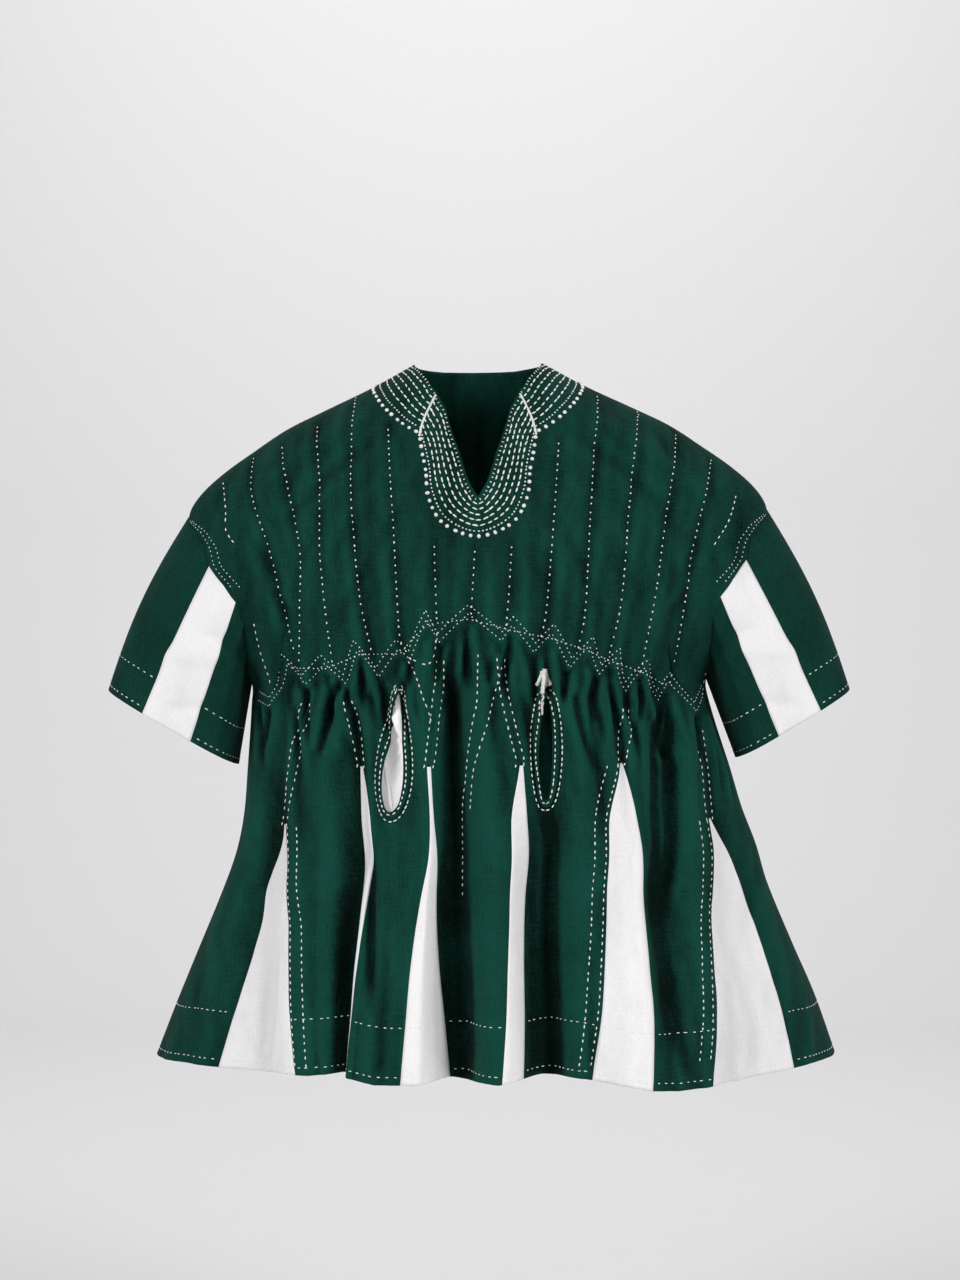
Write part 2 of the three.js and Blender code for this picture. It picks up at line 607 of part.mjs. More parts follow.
// A green panel of the skirt, from the zigzag seam to the hem.
function greenPanel(side, panel) {
  const topLeft = panel.left(0);
  const topRight = panel.right(0);
  const between = seamColumns(side).filter((column) => column > topLeft && column < topRight);
  const columns = [topLeft, ...between, topRight];
  const fractions = columns.map((column) => (column - topLeft) / (topRight - topLeft));
  const top = columns.map((column) => [column, zigzagHeight(side, column)]);
  const first = skirtRow(panel, fractions, SKIRT_LEVELS[0]);
  const upper = [];
  for (let row = 1; row < SKIRT_TOP_ROWS; row += 1) {
    const part = row / SKIRT_TOP_ROWS;
    upper.push(top.map((place, c) => [mix(place[0], first[c][0], part), mix(place[1], first[c][1], part)]));
  }
  const levels = SKIRT_LEVELS.map((height) => skirtRow(panel, fractions, height));
  const hem = skirtRow(panel, fractions, HEM).map(([bearing]) => [bearing, hemHeight(side, bearing)]);
  return clothWall((u, v) => bodyPoint(side, u, v), [top, ...upper, ...levels, hem], BODY_STEPS, -side);
}

// A white gore of the skirt, from its apex to the hem.
function whiteGore(side, gore) {
  const panel = {
    left: (height) => goreEdge(side, gore, 0, height),
    right: (height) => goreEdge(side, gore, 1, height),
  };
  const columns = Math.max(3, Math.ceil((gore.hem[1] - gore.hem[0]) / WIDEST_COLUMN[side]));
  const fractions = Array.from({ length: columns + 1 }, (_, c) => c / columns);
  const levels = SKIRT_LEVELS.filter((height) => height <= gore.apexHeight);
  const rows = levels.map((height) => skirtRow(panel, fractions, height));
  const hem = skirtRow(panel, fractions, HEM).map(([bearing]) => [bearing, hemHeight(side, bearing)]);
  return clothWall((u, v) => bodyPoint(side, u, v), [...rows, hem], BODY_STEPS, -side);
}

// The skirt of one side: a green panel before, between and after its gores.
function skirt(side, label, pockets) {
  const gores = GORES[side];
  const group = new THREE.Group();
  for (let k = 0; k <= gores.length; k += 1) {
    const panel = {
      left: (height) => (k === 0 ? -QUARTER_TURN : goreEdge(side, gores[k - 1], 1, height)),
      right: (height) => (k === gores.length ? QUARTER_TURN : goreEdge(side, gores[k], 0, height)),
    };
    const number = k + 1;
    const pocket = pockets.find((entry) => entry.panel === number);
    const whole = greenPanel(side, panel);
    const cloth = pocket ? cut(whole, slitCutter(pocket)) : whole;
    group.add(named(`skirt_${label}_green_${number}`, 'green', cloth));
    if (k < gores.length) {
      group.add(named(`skirt_${label}_white_${number}`, 'white', whiteGore(side, gores[k])));
    }
  }
  return group;
}

// One sleeve of four strips that run from the armhole seam to the cuff.
function sleeve(arm, label) {
  const group = new THREE.Group();
  const alongs = Array.from({ length: SLEEVE_STEPS + 1 }, (_, k) => k / SLEEVE_STEPS);
  STRIPS.forEach((strip) => {
    const columns = Array.from({ length: strip.to - strip.from + 1 }, (_, k) => strip.from + k);
    const places = alongs.map((along) => columns.map((column) => [column, along]));
    const surface = (column, along) => sleevePoint(arm, column, along);
    const seamNormal = (row, column) => (row === 0 ? armholeNormal(arm, columns[column]) : null);
    const wall = clothWall(surface, places, SLEEVE_SURFACE_STEPS, arm, seamNormal);
    group.add(named(`sleeve_${label}_${strip.name}`, strip.cloth, wall));
  });
  return group;
}

// Half width of a pocket slit at a part of its length, round at both ends.
function slitHalfWidth(pocket, part) {
  return (pocket.width / 2) * Math.sin(Math.PI * part ** pocket.skew) ** SLIT_ROUNDING;
}

// The outline of a slit in (x, height), grown by `grow`, once round from its top.
function slitOutline(pocket, grow) {
  const down = Array.from({ length: SLIT_STEPS + 1 }, (_, k) => k / SLIT_STEPS);
  const centre = (part) => mix(pocket.top[0], pocket.bottom[0], part);
  const height = (part) => mix(pocket.top[1] + grow, pocket.bottom[1] - grow, part);
  const edge = (part, hand) => {
    const reach = slitHalfWidth(pocket, part) + grow * Math.sin(Math.PI * part) ** WELT_ROUNDING;
    return [centre(part) + hand * reach, height(part)];
  };
  const right = down.map((part) => edge(part, RIGHT));
  const left = down.slice(1, -1).reverse().map((part) => edge(part, LEFT));
  return [...right, ...left];
}

// The body that cuts a slit out of its panel: the outline, drawn forward.
function slitCutter(pocket) {
  const outline = slitOutline(pocket, 0).map(([x, height]) => new THREE.Vector2(x, height));
  const shape = new THREE.Shape(outline);
  const cutter = new THREE.ExtrudeGeometry(shape, { depth: SLIT_CUT.length, bevelEnabled: false });
  return cutter.rotateX(Math.PI / 2).translate(0, -SLIT_CUT.start, 0);
}

function solid(geometry) {
  const bare = geometry.clone();
  bare.deleteAttribute('normal');
  bare.deleteAttribute('uv');
  const merged = mergeVertices(bare, SAME_POINT);
  const vertProperties = new Float32Array(merged.attributes.position.array);
  const triVerts = new Uint32Array(merged.index.array);
  return new wasm.Manifold(new wasm.Mesh({ numProp: 3, vertProperties, triVerts }));
}

// One geometry less another.
function cut(whole, cutter) {
  const result = solid(whole).subtract(solid(cutter)).getMesh();
  const geometry = new THREE.BufferGeometry();
  geometry.setAttribute('position', new THREE.Float32BufferAttribute(result.vertProperties, 3));
  geometry.setIndex([...result.triVerts]);
  return geometry;
}

// A point on the front of the skirt at a given x and height, lifted off the cloth.
function frontPlace(x, height, lift) {
  const level = height - LEAN * x;
  const sine = (x - ringSize('centre', level)) / ringSize('halfWidth', level);
  const bearing = THREE.MathUtils.radToDeg(Math.asin(sine));
  const surface = (u, v) => bodyPoint(FRONT, u, v);
  const normal = normalAt(surface, [bearing, level], BODY_STEPS, -FRONT);
  return surface(bearing, level).addScaledVector(normal, lift);
}

// The stitched rim round a pocket slit: a flat band that lies on the panel.
function welt(pocket) {
  const layers = [
    [WELT.inner, WELT.lift], [WELT.outer, WELT.lift],
    [WELT.outer, WELT.lift + WELT.thickness], [WELT.inner, WELT.lift + WELT.thickness],
  ];
  const loops = layers.map(([grow, lift]) => {
    const outline = slitOutline(pocket, grow);
    return outline.map(([x, height]) => frontPlace(x, height, lift));
  });
  const around = loops[0].length;
  const points = loops.flat();
  const faces = [];
  for (let layer = 0; layer < layers.length; layer += 1) {
    const next = (layer + 1) % layers.length;
    for (let k = 0; k < around; k += 1) {
      const onward = (k + 1) % around;
      const corners = [[layer, k], [layer, onward], [next, onward], [next, k]];
      faces.push(...cell(points, ...corners.map(([loop, place]) => loop * around + place)));
    }
  }
  return named(`pocket_${pocket.name}_welt`, 'green', facingOut(points, faces));
}

// The part of a pocket bag that shows: a shallow dish of cloth behind the slit, its rim against the panel.
function pocketBag(pocket) {
  const halfWidth = pocket.width / 2 + BAG.margin;
  const net = (extra) => Array.from({ length: BAG.rows + 1 }, (_, r) => {
    const down = r / BAG.rows;
    const height = mix(pocket.top[1] + BAG.topMargin, pocket.bottom[1] - BAG.margin, down);
    return Array.from({ length: BAG.columns + 1 }, (__, c) => {
      const across = c / BAG.columns;
      const x = mix(pocket.top[0], pocket.bottom[0], down) + mix(-halfWidth, halfWidth, across);
      const dish = BAG.depth * Math.sqrt(Math.sin(Math.PI * across) * Math.sin(Math.PI * down));
      return frontPlace(x, height, -(WALL + BAG.lift + dish + extra));
    });
  });
  return named(`pocket_${pocket.name}_bag`, 'white', wallGeometry(net(0), net(WALL)));
}

const smock = new THREE.Group();
smock.add(yoke(FRONT, 'front'));
smock.add(yoke(BACK, 'back'));
smock.add(sleeve(LEFT, 'left'), sleeve(RIGHT, 'right'));
smock.add(skirt(FRONT, 'front', POCKETS));
smock.add(skirt(BACK, 'back', []));
POCKETS.forEach((pocket) => smock.add(welt(pocket)));
POCKETS.filter((pocket) => pocket.bag).forEach((pocket) => smock.add(pocketBag(pocket)));

export default smock;
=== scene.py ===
"""Fugu smock: the look of every cloth piece, its hand stitching and the stage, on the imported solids."""

from functools import partial

import bpy
import numpy as np
from bpy.props import FloatProperty, FloatVectorProperty, IntProperty, PointerProperty
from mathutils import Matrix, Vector


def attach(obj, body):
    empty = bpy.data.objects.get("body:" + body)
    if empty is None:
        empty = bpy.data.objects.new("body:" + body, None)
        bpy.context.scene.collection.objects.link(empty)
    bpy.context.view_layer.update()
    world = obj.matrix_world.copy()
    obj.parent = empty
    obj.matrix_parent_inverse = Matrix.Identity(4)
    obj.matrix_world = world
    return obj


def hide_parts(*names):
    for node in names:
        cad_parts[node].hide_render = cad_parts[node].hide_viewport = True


bl_info = {
    "name": "Fugu Smock",
    "version": (1, 0, 0),
    "blender": (4, 5, 0),
    "location": "View3D > Sidebar > Smock",
    "description": "Builds the cloth, stitching and stage of a strip-cloth smock",
    "category": "Object",
}

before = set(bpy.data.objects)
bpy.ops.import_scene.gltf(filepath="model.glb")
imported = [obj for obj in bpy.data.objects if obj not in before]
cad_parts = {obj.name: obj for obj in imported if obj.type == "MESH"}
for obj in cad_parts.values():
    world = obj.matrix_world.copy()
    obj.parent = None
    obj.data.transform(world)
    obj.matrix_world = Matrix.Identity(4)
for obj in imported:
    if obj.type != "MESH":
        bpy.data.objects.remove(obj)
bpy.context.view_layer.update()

MM = 0.001
FRONT, BACK = -1, 1
LEFT, RIGHT = -1, 1
SIDES, ARMS = {FRONT: "front", BACK: "back"}, {LEFT: "left", RIGHT: "right"}
LEAN = 0.012  # the garment hangs a little higher on its +X side
SEAM_GAP = 0.1  # clearance between two pieces at a seam, mm
LEAST_SINE = 0.2  # limits how far a border moves where a net's lines meet it at a sharp angle
SEED = 7


def table(names, *rows):
    """The named columns of a table, as arrays, from its rows."""
    return {name: np.array(column, float) for name, column in zip(names.split(), zip(*rows))}


# Level rings of the body, mm: half width in x, depth in -y and in +y.
RINGS = table(
    "height centre half_width front back",
    (0, 0, 66, 50, 52),
    (-24, 0, 110, 63, 66),
    (-48, 0, 161, 72, 78),
    (-66, 0, 198, 80, 87),
    (-89, 0, 233, 90, 96),
    (-111, 0, 264, 98, 103),
    (-133, 0, 288, 105, 109),
    (-154, 0, 300, 110, 113),
    (-200, 0, 301, 118, 118),
    (-245, 0, 299, 122, 120),
    (-268, 0, 287, 124, 120),
    (-290, 0, 266, 125, 119),
    (-310, 0, 248, 126, 118),
    (-330, 1, 236, 127, 118),
    (-349, 2, 237, 129, 119),
    (-416, 10, 249, 140, 130),
    (-461, 15, 257, 153, 142),
    (-500, 19, 268, 166, 153),
    (-540, 18, 281, 179, 164),
    (-605, 18, 308, 200, 184),
    (-657, 18.5, 330, 217, 199),
    (-730, 17, 357, 240, 218),
)

# Neck edge from the centre line to the side: a round neck with a slit down the centre front.
NECK_EDGE = {
    FRONT: table(
        "bearing height",
        (0, -143), (1.8, -128), (4.2, -98), (7.4, -72), (10.7, -53), (14.7, -42),
        (18.7, -34), (30, -20), (45, -10), (60, -5), (90, 0),
    ),
    BACK: table("bearing height", (0, -4), (30, -4), (60, -2), (90, 0)),
}

# Armhole seam: the bearing at which the yoke ends.
ARMHOLE = table(
    "height bearing",
    (-154, 90), (-170, 74), (-188, 68), (-208, 66), (-228, 59.5), (-246, 55.5), (-268, 56), (-298, 66),
    (-330, 90),
)

# Zigzag seam between the yoke and the skirt.
ZIGZAG = {
    FRONT: table(
        "bearing height",
        (-90, -350), (-74.6, -354), (-64.7, -360), (-50.5, -316), (-47.5, -338), (-38.2, -317),
        (-34.3, -337), (-27.3, -303), (-24.8, -331), (-17.7, -303), (-15.5, -314), (-10.2, -274),
        (-8.4, -297), (-1.9, -269), (5.0, -296), (6.9, -281), (12.7, -308), (15.5, -289), (22.1, -324),
        (25.1, -302), (30.3, -331), (33.3, -314), (38.5, -348), (43.5, -325), (50.3, -358), (55, -339),
        (66.5, -371), (76.8, -352), (90, -350),
    ),
    BACK: table(
        "bearing height",
        (-90, -350), (-72, -352), (-61, -357), (-54, -324), (-43, -343), (-37, -313), (-28, -336),
        (-22, -300), (-14, -322), (-8, -286), (0, -306), (8, -284), (14, -320), (22, -302), (29, -334),
        (37, -311), (44, -342), (53, -322), (61, -358), (72, -352), (90, -350),
    ),
}

SKIRT_TOP = -412  # first level at which the skirt's rows are level
JUST_ABOVE = 1e-3  # keeps a row above the gores' apexes, where the edges still lie on the seam
GORE_MIDDLE = -572
GORE_UPPER_DROP = 58  # from the apex to the upper places
HEM = -712
HEM_SETTLE = 60  # below a panel's first row, where its rows begin to bend towards the hem line
APEX_HALF_BEARING = 0.4

# White gores: bearing at the zigzag seam, apex, then both edges under it, half way down and at the hem.
GORE_COLUMNS = "seam apex apex_height upper_left upper_right middle_left middle_right hem_left hem_right"
GORES = {
    FRONT: table(
        GORE_COLUMNS,
        (-47.5, -54.4, -470, -56.1, -48.9, -53.6, -43.4, -51.6, -33),
        (-34.3, -31.2, -412, -31.7, -28.2, -28.3, -26.4, -26, -24.4),
        (-8.4, -13.3, -412, -13.9, -13, -15.2, -11.6, -14.6, -7.7),
        (5.0, 7.8, -412, 3.7, 7.4, 2.4, 5.5, 0.9, 4.4),
        (38.5, 32.7, -412, 25.5, 32.9, 20.8, 29.1, 15, 23.8),
        (66.5, 58.1, -470, 52.6, 61.4, 46.7, 61, 35.6, 56.3),
    ),
    BACK: table(
        GORE_COLUMNS,
        (-61, -57, -470, -57.8, -52, -57, -47, -55, -39),
        (-43, -37, -412, -37.6, -34, -34.5, -29, -33, -24.5),
        (-14, -13, -412, -14.4, -11.4, -15, -9.5, -15.5, -7),
        (14, 11, -412, 8.8, 11.8, 7.5, 12.5, 6, 13.5),
        (44, 36, -412, 31.5, 35, 26.5, 33, 22.5, 30.5),
        (61, 57, -470, 51.5, 57.6, 46, 57, 39, 55),
    ),
}

# Skirt folds, crests and valleys in turn: bearing and outward depth at four levels, and the hem's height.
FOLD_LEVELS = (-347, -446, -545, -712)
FOLD_COLUMNS = "at_1 at_2 at_3 at_4 out_1 out_2 out_3 out_4 hem"
FOLDS = {
    FRONT: table(
        FOLD_COLUMNS,
        (-90, -90, -90, -90, 0, 0, 0, 0, -710),
        (-66, -66, -65, -61, 0, 6, 10, 10, -705),
        (-57, -57, -51, -41, 2, -2, -4, -8, -708),
        (-50, -51, -43, -30.6, 4, 6, 10, 14, -706),
        (-42, -41, -36.5, -28.1, 4, 8, 6, 4, -706),
        (-33, -32, -30, -26, -2, -10, -20, -26, -707),
        (-28.4, -28.2, -27, -23.8, -2, 0, 4, 8, -708),
        (-22.5, -22.3, -21.3, -18.8, -4, 6, 12, 18, -712),
        (-13.5, -14.3, -13.9, -12, 4, 6, 10, 22, -711),
        (-7, -9.6, -10.5, -7.5, -12, -16, -22, -30, -710),
        (2.2, -0.8, -0.6, 0.4, 6, 10, 14, 22, -711),
        (15.7, 12, 9.8, 7.8, -6, -6, -22, -26, -708),
        (24.7, 20.6, 17.3, 14, 0, 8, 10, 8, -709),
        (37.6, 32.8, 28.6, 23.4, 2, 6, 12, 28, -720),
        (51.5, 44.1, 34.5, 28.4, -8, -12, -10, 18, -723),
        (63, 52.4, 43.4, 33.5, 4, 4, 6, 14, -723),
        (70, 61.8, 52.5, 42.9, -2, -2, -4, -6, -722),
        (77, 76, 68, 61, 2, 4, 6, 8, -714),
        (90, 90, 90, 90, 0, 0, 0, 0, -715),
    ),
    BACK: table(
        FOLD_COLUMNS,
        (-90, -90, -90, -90, 0, 0, 0, 0, -710),
        (-69, -69, -67, -64, 0, 5, 9, 10, -708),
        (-59, -57, -53, -48, -2, -4, -6, -9, -706),
        (-48, -46, -42, -37, 3, 6, 11, 16, -708),
        (-37, -36, -34, -30, -2, -8, -15, -22, -705),
        (-27, -27, -26, -22, 2, 7, 12, 18, -709),
        (-17, -16, -15, -14, -4, -9, -15, -22, -704),
        (-7, -7, -6, -5, 4, 8, 13, 20, -710),
        (3, 2, 2, 3, -6, -10, -17, -26, -705),
        (13, 12, 11, 11, 3, 7, 12, 19, -709),
        (22, 21, 20, 19, -3, -8, -13, -18, -706),
        (32, 31, 29, 27, 4, 7, 13, 22, -712),
        (43, 41, 38, 35, -4, -8, -11, -14, -710),
        (54, 51, 47, 43, 3, 6, 10, 15, -714),
        (64, 61, 57, 52, -2, -4, -6, -8, -712),
        (76, 74, 70, 65, 2, 5, 8, 9, -714),
        (90, 90, 90, 90, 0, 0, 0, 0, -715),
    ),
}
FOLD_START_CENTRE, FOLD_START_SIDE, FOLD_GROWTH = -262, -347, 90

# Sleeves: the cuff ellipse's outer and inner end, x and height.
CUFFS = {LEFT: ((-384, -338), (-249, -416)), RIGHT: ((386, -337), (268, -409))}
CUFF_HALF_DEPTH, CUFF_CENTRE_Y, SLEEVE_SWELL, SLEEVE_LIFT = 70, 4, 8, 0.5
SLEEVE_FOLDS = table(
    "round width out",
    (0.1, 0.05, 3), (0.27, 0.05, -6), (0.37, 0.045, 6), (0.62, 0.05, 5), (0.75, 0.05, -6), (0.88, 0.05, 3),
)
SLEEVE_COLUMNS = table(
    "armhole cuff",
    (-154, 0), (-170, 0.088), (-188, 0.14), (-208, 0.187), (-228, 0.247), (-246, 0.308), (-268, 0.362),
    (-298, 0.425), (-330, 0.5),
)
# Strips of a sleeve: the first and the last of its columns, of which the front has eight and the back too.
STRIPS = {
    "top": (-3, 3, "green"),
    "front_white": (3, 5, "white"),
    "under": (5, 11, "green"),
    "back_white": (11, 13, "white"),
}

# Pocket slits: top and bottom point (x, height), greatest width, and where along it that lies.
SLITS = {
    "left": dict(panel=3, top=(-80, -341), bottom=(-85, -457), width=20, skew=2.1, round=0.5),
    "right": dict(panel=5, top=(69, -346), bottom=(68, -446), width=11.5, skew=0.95, round=0.26),
}
SLIT_CUT = 3.4  # how far the panel is cut back from a slit, under the rim, mm
# The rim round a slit, mm: the middle of its section from the slit's edge and above the panel, its half width
# and height, how square the section is, its length as cut, and its steps along and round.
WELT_OUT, WELT_UP, WELT_HALF_WIDTH, WELT_HALF_HEIGHT, WELT_SQUARE = 4.05, 1.5, 3.45, 0.6, 0.6
WELT_CUT, WELT_STEPS, WELT_SIDES = 260, 120, 16
WELT_ROUNDING = 0.4  # how blunt the ends of the rim are
BAG_MARGIN, BAG_TOP, BAG_DEPTH, BAG_LIFT = 12, 3, 8, 2.8
BAG_ROWS, BAG_COLUMNS = 45, 19
BAG_PUCKER, PUCKERS_ACROSS, PUCKERS_DOWN = 0.8, 9, 3
SLIT_ROWS = ((3.6, 2.0), (9.8, 0.0))  # rows round a slit: distance from its edge, and height above the panel
SLIT_ROW_SPAN = (0.02, 0.98)
# Satin stitches over the ends of the slits, each from its top to its foot: x and height, mm.
BAR_TACKS = (
    ((65, -318), (60.5, -332)), ((66.5, -316), (65, -334)), ((68, -316), (69.5, -334)),
    ((69.5, -318), (74, -332)), ((65, -334), (63.8, -362)), ((-83, -337), (-77, -337)),
)

# Lines of stitches down the front of the yoke, each from its top to the seam: x and height, mm.
YOKE_LINES = {
    FRONT: (
        ((-233, -98), (-231, -137), (-214, -190), (-196, -259), (-186, -299)),
        ((-202, -88), (-194, -132), (-180, -197), (-180, -258), (-181, -312)),
        ((-166, -66), (-161, -130), (-159, -202), (-153, -260), (-146, -312)),
        ((-126, -36), (-129, -115), (-123, -207), (-117, -254), (-107, -300)),
        ((-92, -69), (-86, -160), (-81, -247), (-78, -286), (-71, -300)),
        ((-44, -190), (-43, -220), (-41, -270)),
        ((-3, -195), (-5, -230), (-7, -264)),
        ((34, -190), (31, -240), (28, -276)),
        ((82, -85), (76, -170), (69, -254), (63, -286)),
        ((123, -35), (114, -150), (108, -252), (100, -298)),
        ((164, -50), (152, -160), (144, -247), (130, -310)),
        ((205, -74), (190, -170), (177, -247), (163, -322)),
        ((241, -100), (222, -180), (210, -252), (196, -334)),
    ),
    BACK: (
        ((-232, -98), (-222, -180), (-205, -262), (-196, -320)),
        ((-196, -70), (-190, -170), (-176, -260), (-165, -338)),
        ((-160, -50), (-154, -150), (-147, -250), (-143, -309)),
        ((-122, -36), (-122, -140), (-117, -240), (-111, -332)),
        ((-92, -62), (-91, -160), (-90, -250), (-89, -296)),
        ((-56, -56), (-57, -150), (-58, -250), (-57, -318)),
        ((-28, -54), (-30, -150), (-32, -240), (-33, -282)),
        ((0, -52), (0, -150), (0, -240), (0, -302)),
        ((30, -54), (31, -150), (33, -240), (34, -280)),
        ((58, -56), (58, -150), (58, -250), (58, -316)),
        ((93, -62), (91, -160), (90, -250), (90, -298)),
        ((124, -36), (122, -140), (118, -240), (115, -330)),
        ((162, -50), (156, -150), (148, -250), (144, -307)),
        ((198, -70), (192, -170), (178, -260), (166, -338)),
        ((234, -98), (224, -180), (206, -262), (195, -318)),
    ),
}
LINE_TROUGH, LINE_WIDTH = 1.9, 6.5

DEPTH_IN_WIDTH = 0.45  # share of the body's depth in the width of the cloth laid flat
# Creases laid out flat, mm: place across from the centre line and height at both ends, width, how far they
# stand out and bow to a side, then the shares of their length over which they rise and fall.
CREASE_COLUMNS = "x1 z1 x2 z2 width out bow rise fall"
CREASES = {
    FRONT: table(
        CREASE_COLUMNS,
        (-70, -60, -235, -205, 9, -3.0, 14, 0.3, 0.4),
        (-100, -52, -262, -150, 11, 2.4, 12, 0.3, 0.3),
        (-60, -95, -205, -262, 12, 2.2, 16, 0.4, 0.4),
        (-52, -120, -150, -290, 9, -2.2, 10, 0.4, 0.3),
        (-250, -175, -200, -300, 9, -3.4, -8, 0.2, 0.5),
        (-232, -215, -176, -262, 7, 2.6, 4, 0.2, 0.6),
        (72, -62, 236, -206, 9, -2.8, -14, 0.3, 0.4),
        (102, -54, 262, -152, 11, 2.4, -12, 0.3, 0.3),
        (58, -98, 198, -268, 12, 2.0, -16, 0.4, 0.4),
        (48, -125, 140, -300, 9, -2.0, -10, 0.4, 0.3),
        (252, -176, 204, -310, 9, -3.2, 8, 0.2, 0.5),
        (236, -218, 180, -270, 7, 2.4, -4, 0.2, 0.6),
        (-20, -195, -24, -268, 6, 1.6, 0, 0.4, 0.1),
        (12, -195, 10, -275, 6, 1.8, 0, 0.4, 0.1),
        (50, -190, 46, -285, 7, 1.8, 0, 0.4, 0.1),
        (92, -180, 82, -300, 8, 2.0, 3, 0.4, 0.1),
        (130, -160, 115, -312, 8, 2.4, 4, 0.4, 0.1),
        (168, -160, 148, -330, 8, 2.6, 4, 0.4, 0.1),
        (204, -180, 180, -338, 8, 2.4, 4, 0.4, 0.1),
        (-62, -190, -58, -285, 8, 2.0, 0, 0.4, 0.1),
        (-104, -170, -92, -305, 8, 2.0, -3, 0.4, 0.1),
        (-140, -170, -128, -318, 8, 2.4, -4, 0.4, 0.1),
        (-168, -190, -164, -325, 7, 2.4, -4, 0.4, 0.1),
        (-205, -255, -190, -340, 7, 2.6, 0, 0.4, 0.1),
        (-150, -324, -186, -410, 5, -12.0, 2, 0.12, 0.4),
        (-140, -322, -168, -420, 7, 4.0, 2, 0.15, 0.5),
        (-27, -318, -40, -560, 9, -16.0, 3, 0.12, 0.3),
        (-40, -500, -30, -712, 10, -15.0, -3, 0.3, 0.02),
        (-101, -328, -95, -470, 6, -9.0, 0, 0.15, 0.5),
        (58, -450, 62, -712, 8, -12.0, 2, 0.25, 0.02),
        (44, -330, 54, -480, 6, -6.0, 0, 0.15, 0.5),
        (197, -364, 212, -420, 6, -8.0, 2, 0.2, 0.3),
        (212, -400, 178, -566, 7, -10.0, -6, 0.2, 0.4),
        (-138, -470, -128, -660, 8, -9.0, -3, 0.2, 0.3),
        (100, -335, 112, -430, 6, -7.0, 2, 0.15, 0.5),
        (150, -345, 144, -450, 6, -7.0, 2, 0.15, 0.5),
        (14, -300, 6, -430, 6, -6.5, 0, 0.15, 0.5),
        (-205, -345, -212, -520, 9, -3.0, 4, 0.1, 0.6),
        (-140, -345, -146, -560, 8, -3.2, -5, 0.1, 0.5),
        (-118, -335, -98, -410, 6, -4.5, 2, 0.1, 0.6),
        (-60, -320, -56, -520, 7, 3.0, 2, 0.1, 0.6),
        (-28, -318, -24, -420, 6, -4.0, 0, 0.1, 0.7),
        (22, -310, 14, -500, 6, -3.5, 2, 0.1, 0.6),
        (46, -316, 42, -420, 5, 3.0, 0, 0.1, 0.7),
        (98, -320, 92, -470, 6, 3.0, -2, 0.1, 0.6),
        (120, -330, 104, -520, 6, -3.5, -4, 0.1, 0.6),
        (176, -340, 164, -480, 6, 3.6, -4, 0.1, 0.6),
        (198, -372, 182, -560, 7, -3.6, 8, 0.1, 0.5),
        (226, -380, 214, -520, 7, 3.0, -4, 0.1, 0.6),
        (-236, -560, -262, -705, 12, -3.0, 3, 0.4, 0.1),
        (-110, -540, -116, -708, 9, -3.0, 2, 0.4, 0.1),
        (-74, -560, -84, -708, 8, 2.5, 2, 0.4, 0.1),
        (-2, -560, 4, -708, 8, -2.6, -2, 0.4, 0.1),
        (88, -560, 96, -708, 9, -3.0, 2, 0.4, 0.1),
        (176, -560, 196, -715, 9, -3.4, 2, 0.4, 0.1),
        (262, -560, 296, -715, 12, -3.0, -3, 0.4, 0.1),
    ),
    BACK: table(
        CREASE_COLUMNS,
        (-60, -70, -230, -200, 10, -2.6, 14, 0.3, 0.4),
        (60, -70, 232, -204, 10, -2.6, -14, 0.3, 0.4),
        (-96, -60, -255, -150, 11, 2.2, 12, 0.3, 0.3),
        (98, -60, 258, -152, 11, 2.2, -12, 0.3, 0.3),
        (-30, -110, -140, -280, 12, 2.0, 12, 0.4, 0.4),
        (34, -108, 150, -276, 12, 2.0, -12, 0.4, 0.4),
        (-252, -178, -206, -306, 9, -3.2, -8, 0.2, 0.5),
        (252, -178, 206, -306, 9, -3.2, 8, 0.2, 0.5),
        (-16, -170, -18, -296, 7, 1.8, 0, 0.4, 0.1),
        (18, -170, 20, -294, 7, 1.8, 0, 0.4, 0.1),
        (-74, -170, -72, -306, 7, 2.0, 0, 0.4, 0.1),
        (76, -168, 72, -306, 7, 2.0, 0, 0.4, 0.1),
        (-132, -180, -124, -318, 8, 2.2, -3, 0.4, 0.1),
        (134, -180, 126, -318, 8, 2.2, 3, 0.4, 0.1),
        (-176, -190, -166, -326, 8, 2.4, -3, 0.4, 0.1),
        (176, -190, 168, -326, 8, 2.4, 3, 0.4, 0.1),
        (-210, -350, -216, -540, 9, -3.0, 4, 0.1, 0.6),
        (-150, -345, -160, -560, 8, 3.2, -4, 0.1, 0.5),
        (-104, -340, -108, -500, 7, -3.6, 3, 0.1, 0.6),
        (-44, -320, -40, -520, 7, 3.2, 2, 0.1, 0.6),
        (14, -320, 12, -480, 6, -3.8, -2, 0.1, 0.6),
        (62, -325, 66, -540, 7, 3.0, -3, 0.1, 0.6),
        (108, -340, 112, -500, 7, -3.6, 3, 0.1, 0.6),
        (160, -345, 168, -560, 8, 3.2, 4, 0.1, 0.5),
        (214, -350, 224, -540, 9, -3.0, -4, 0.1, 0.6),
        (-240, -560, -268, -705, 12, -3.0, 3, 0.4, 0.1),
        (-92, -560, -100, -708, 9, -3.0, 2, 0.4, 0.1),
        (30, -560, 34, -708, 8, -2.6, -2, 0.4, 0.1),
        (128, -560, 140, -708, 9, -3.0, 2, 0.4, 0.1),
        (262, -560, 296, -715, 12, -3.0, -3, 0.4, 0.1),
    ),
}
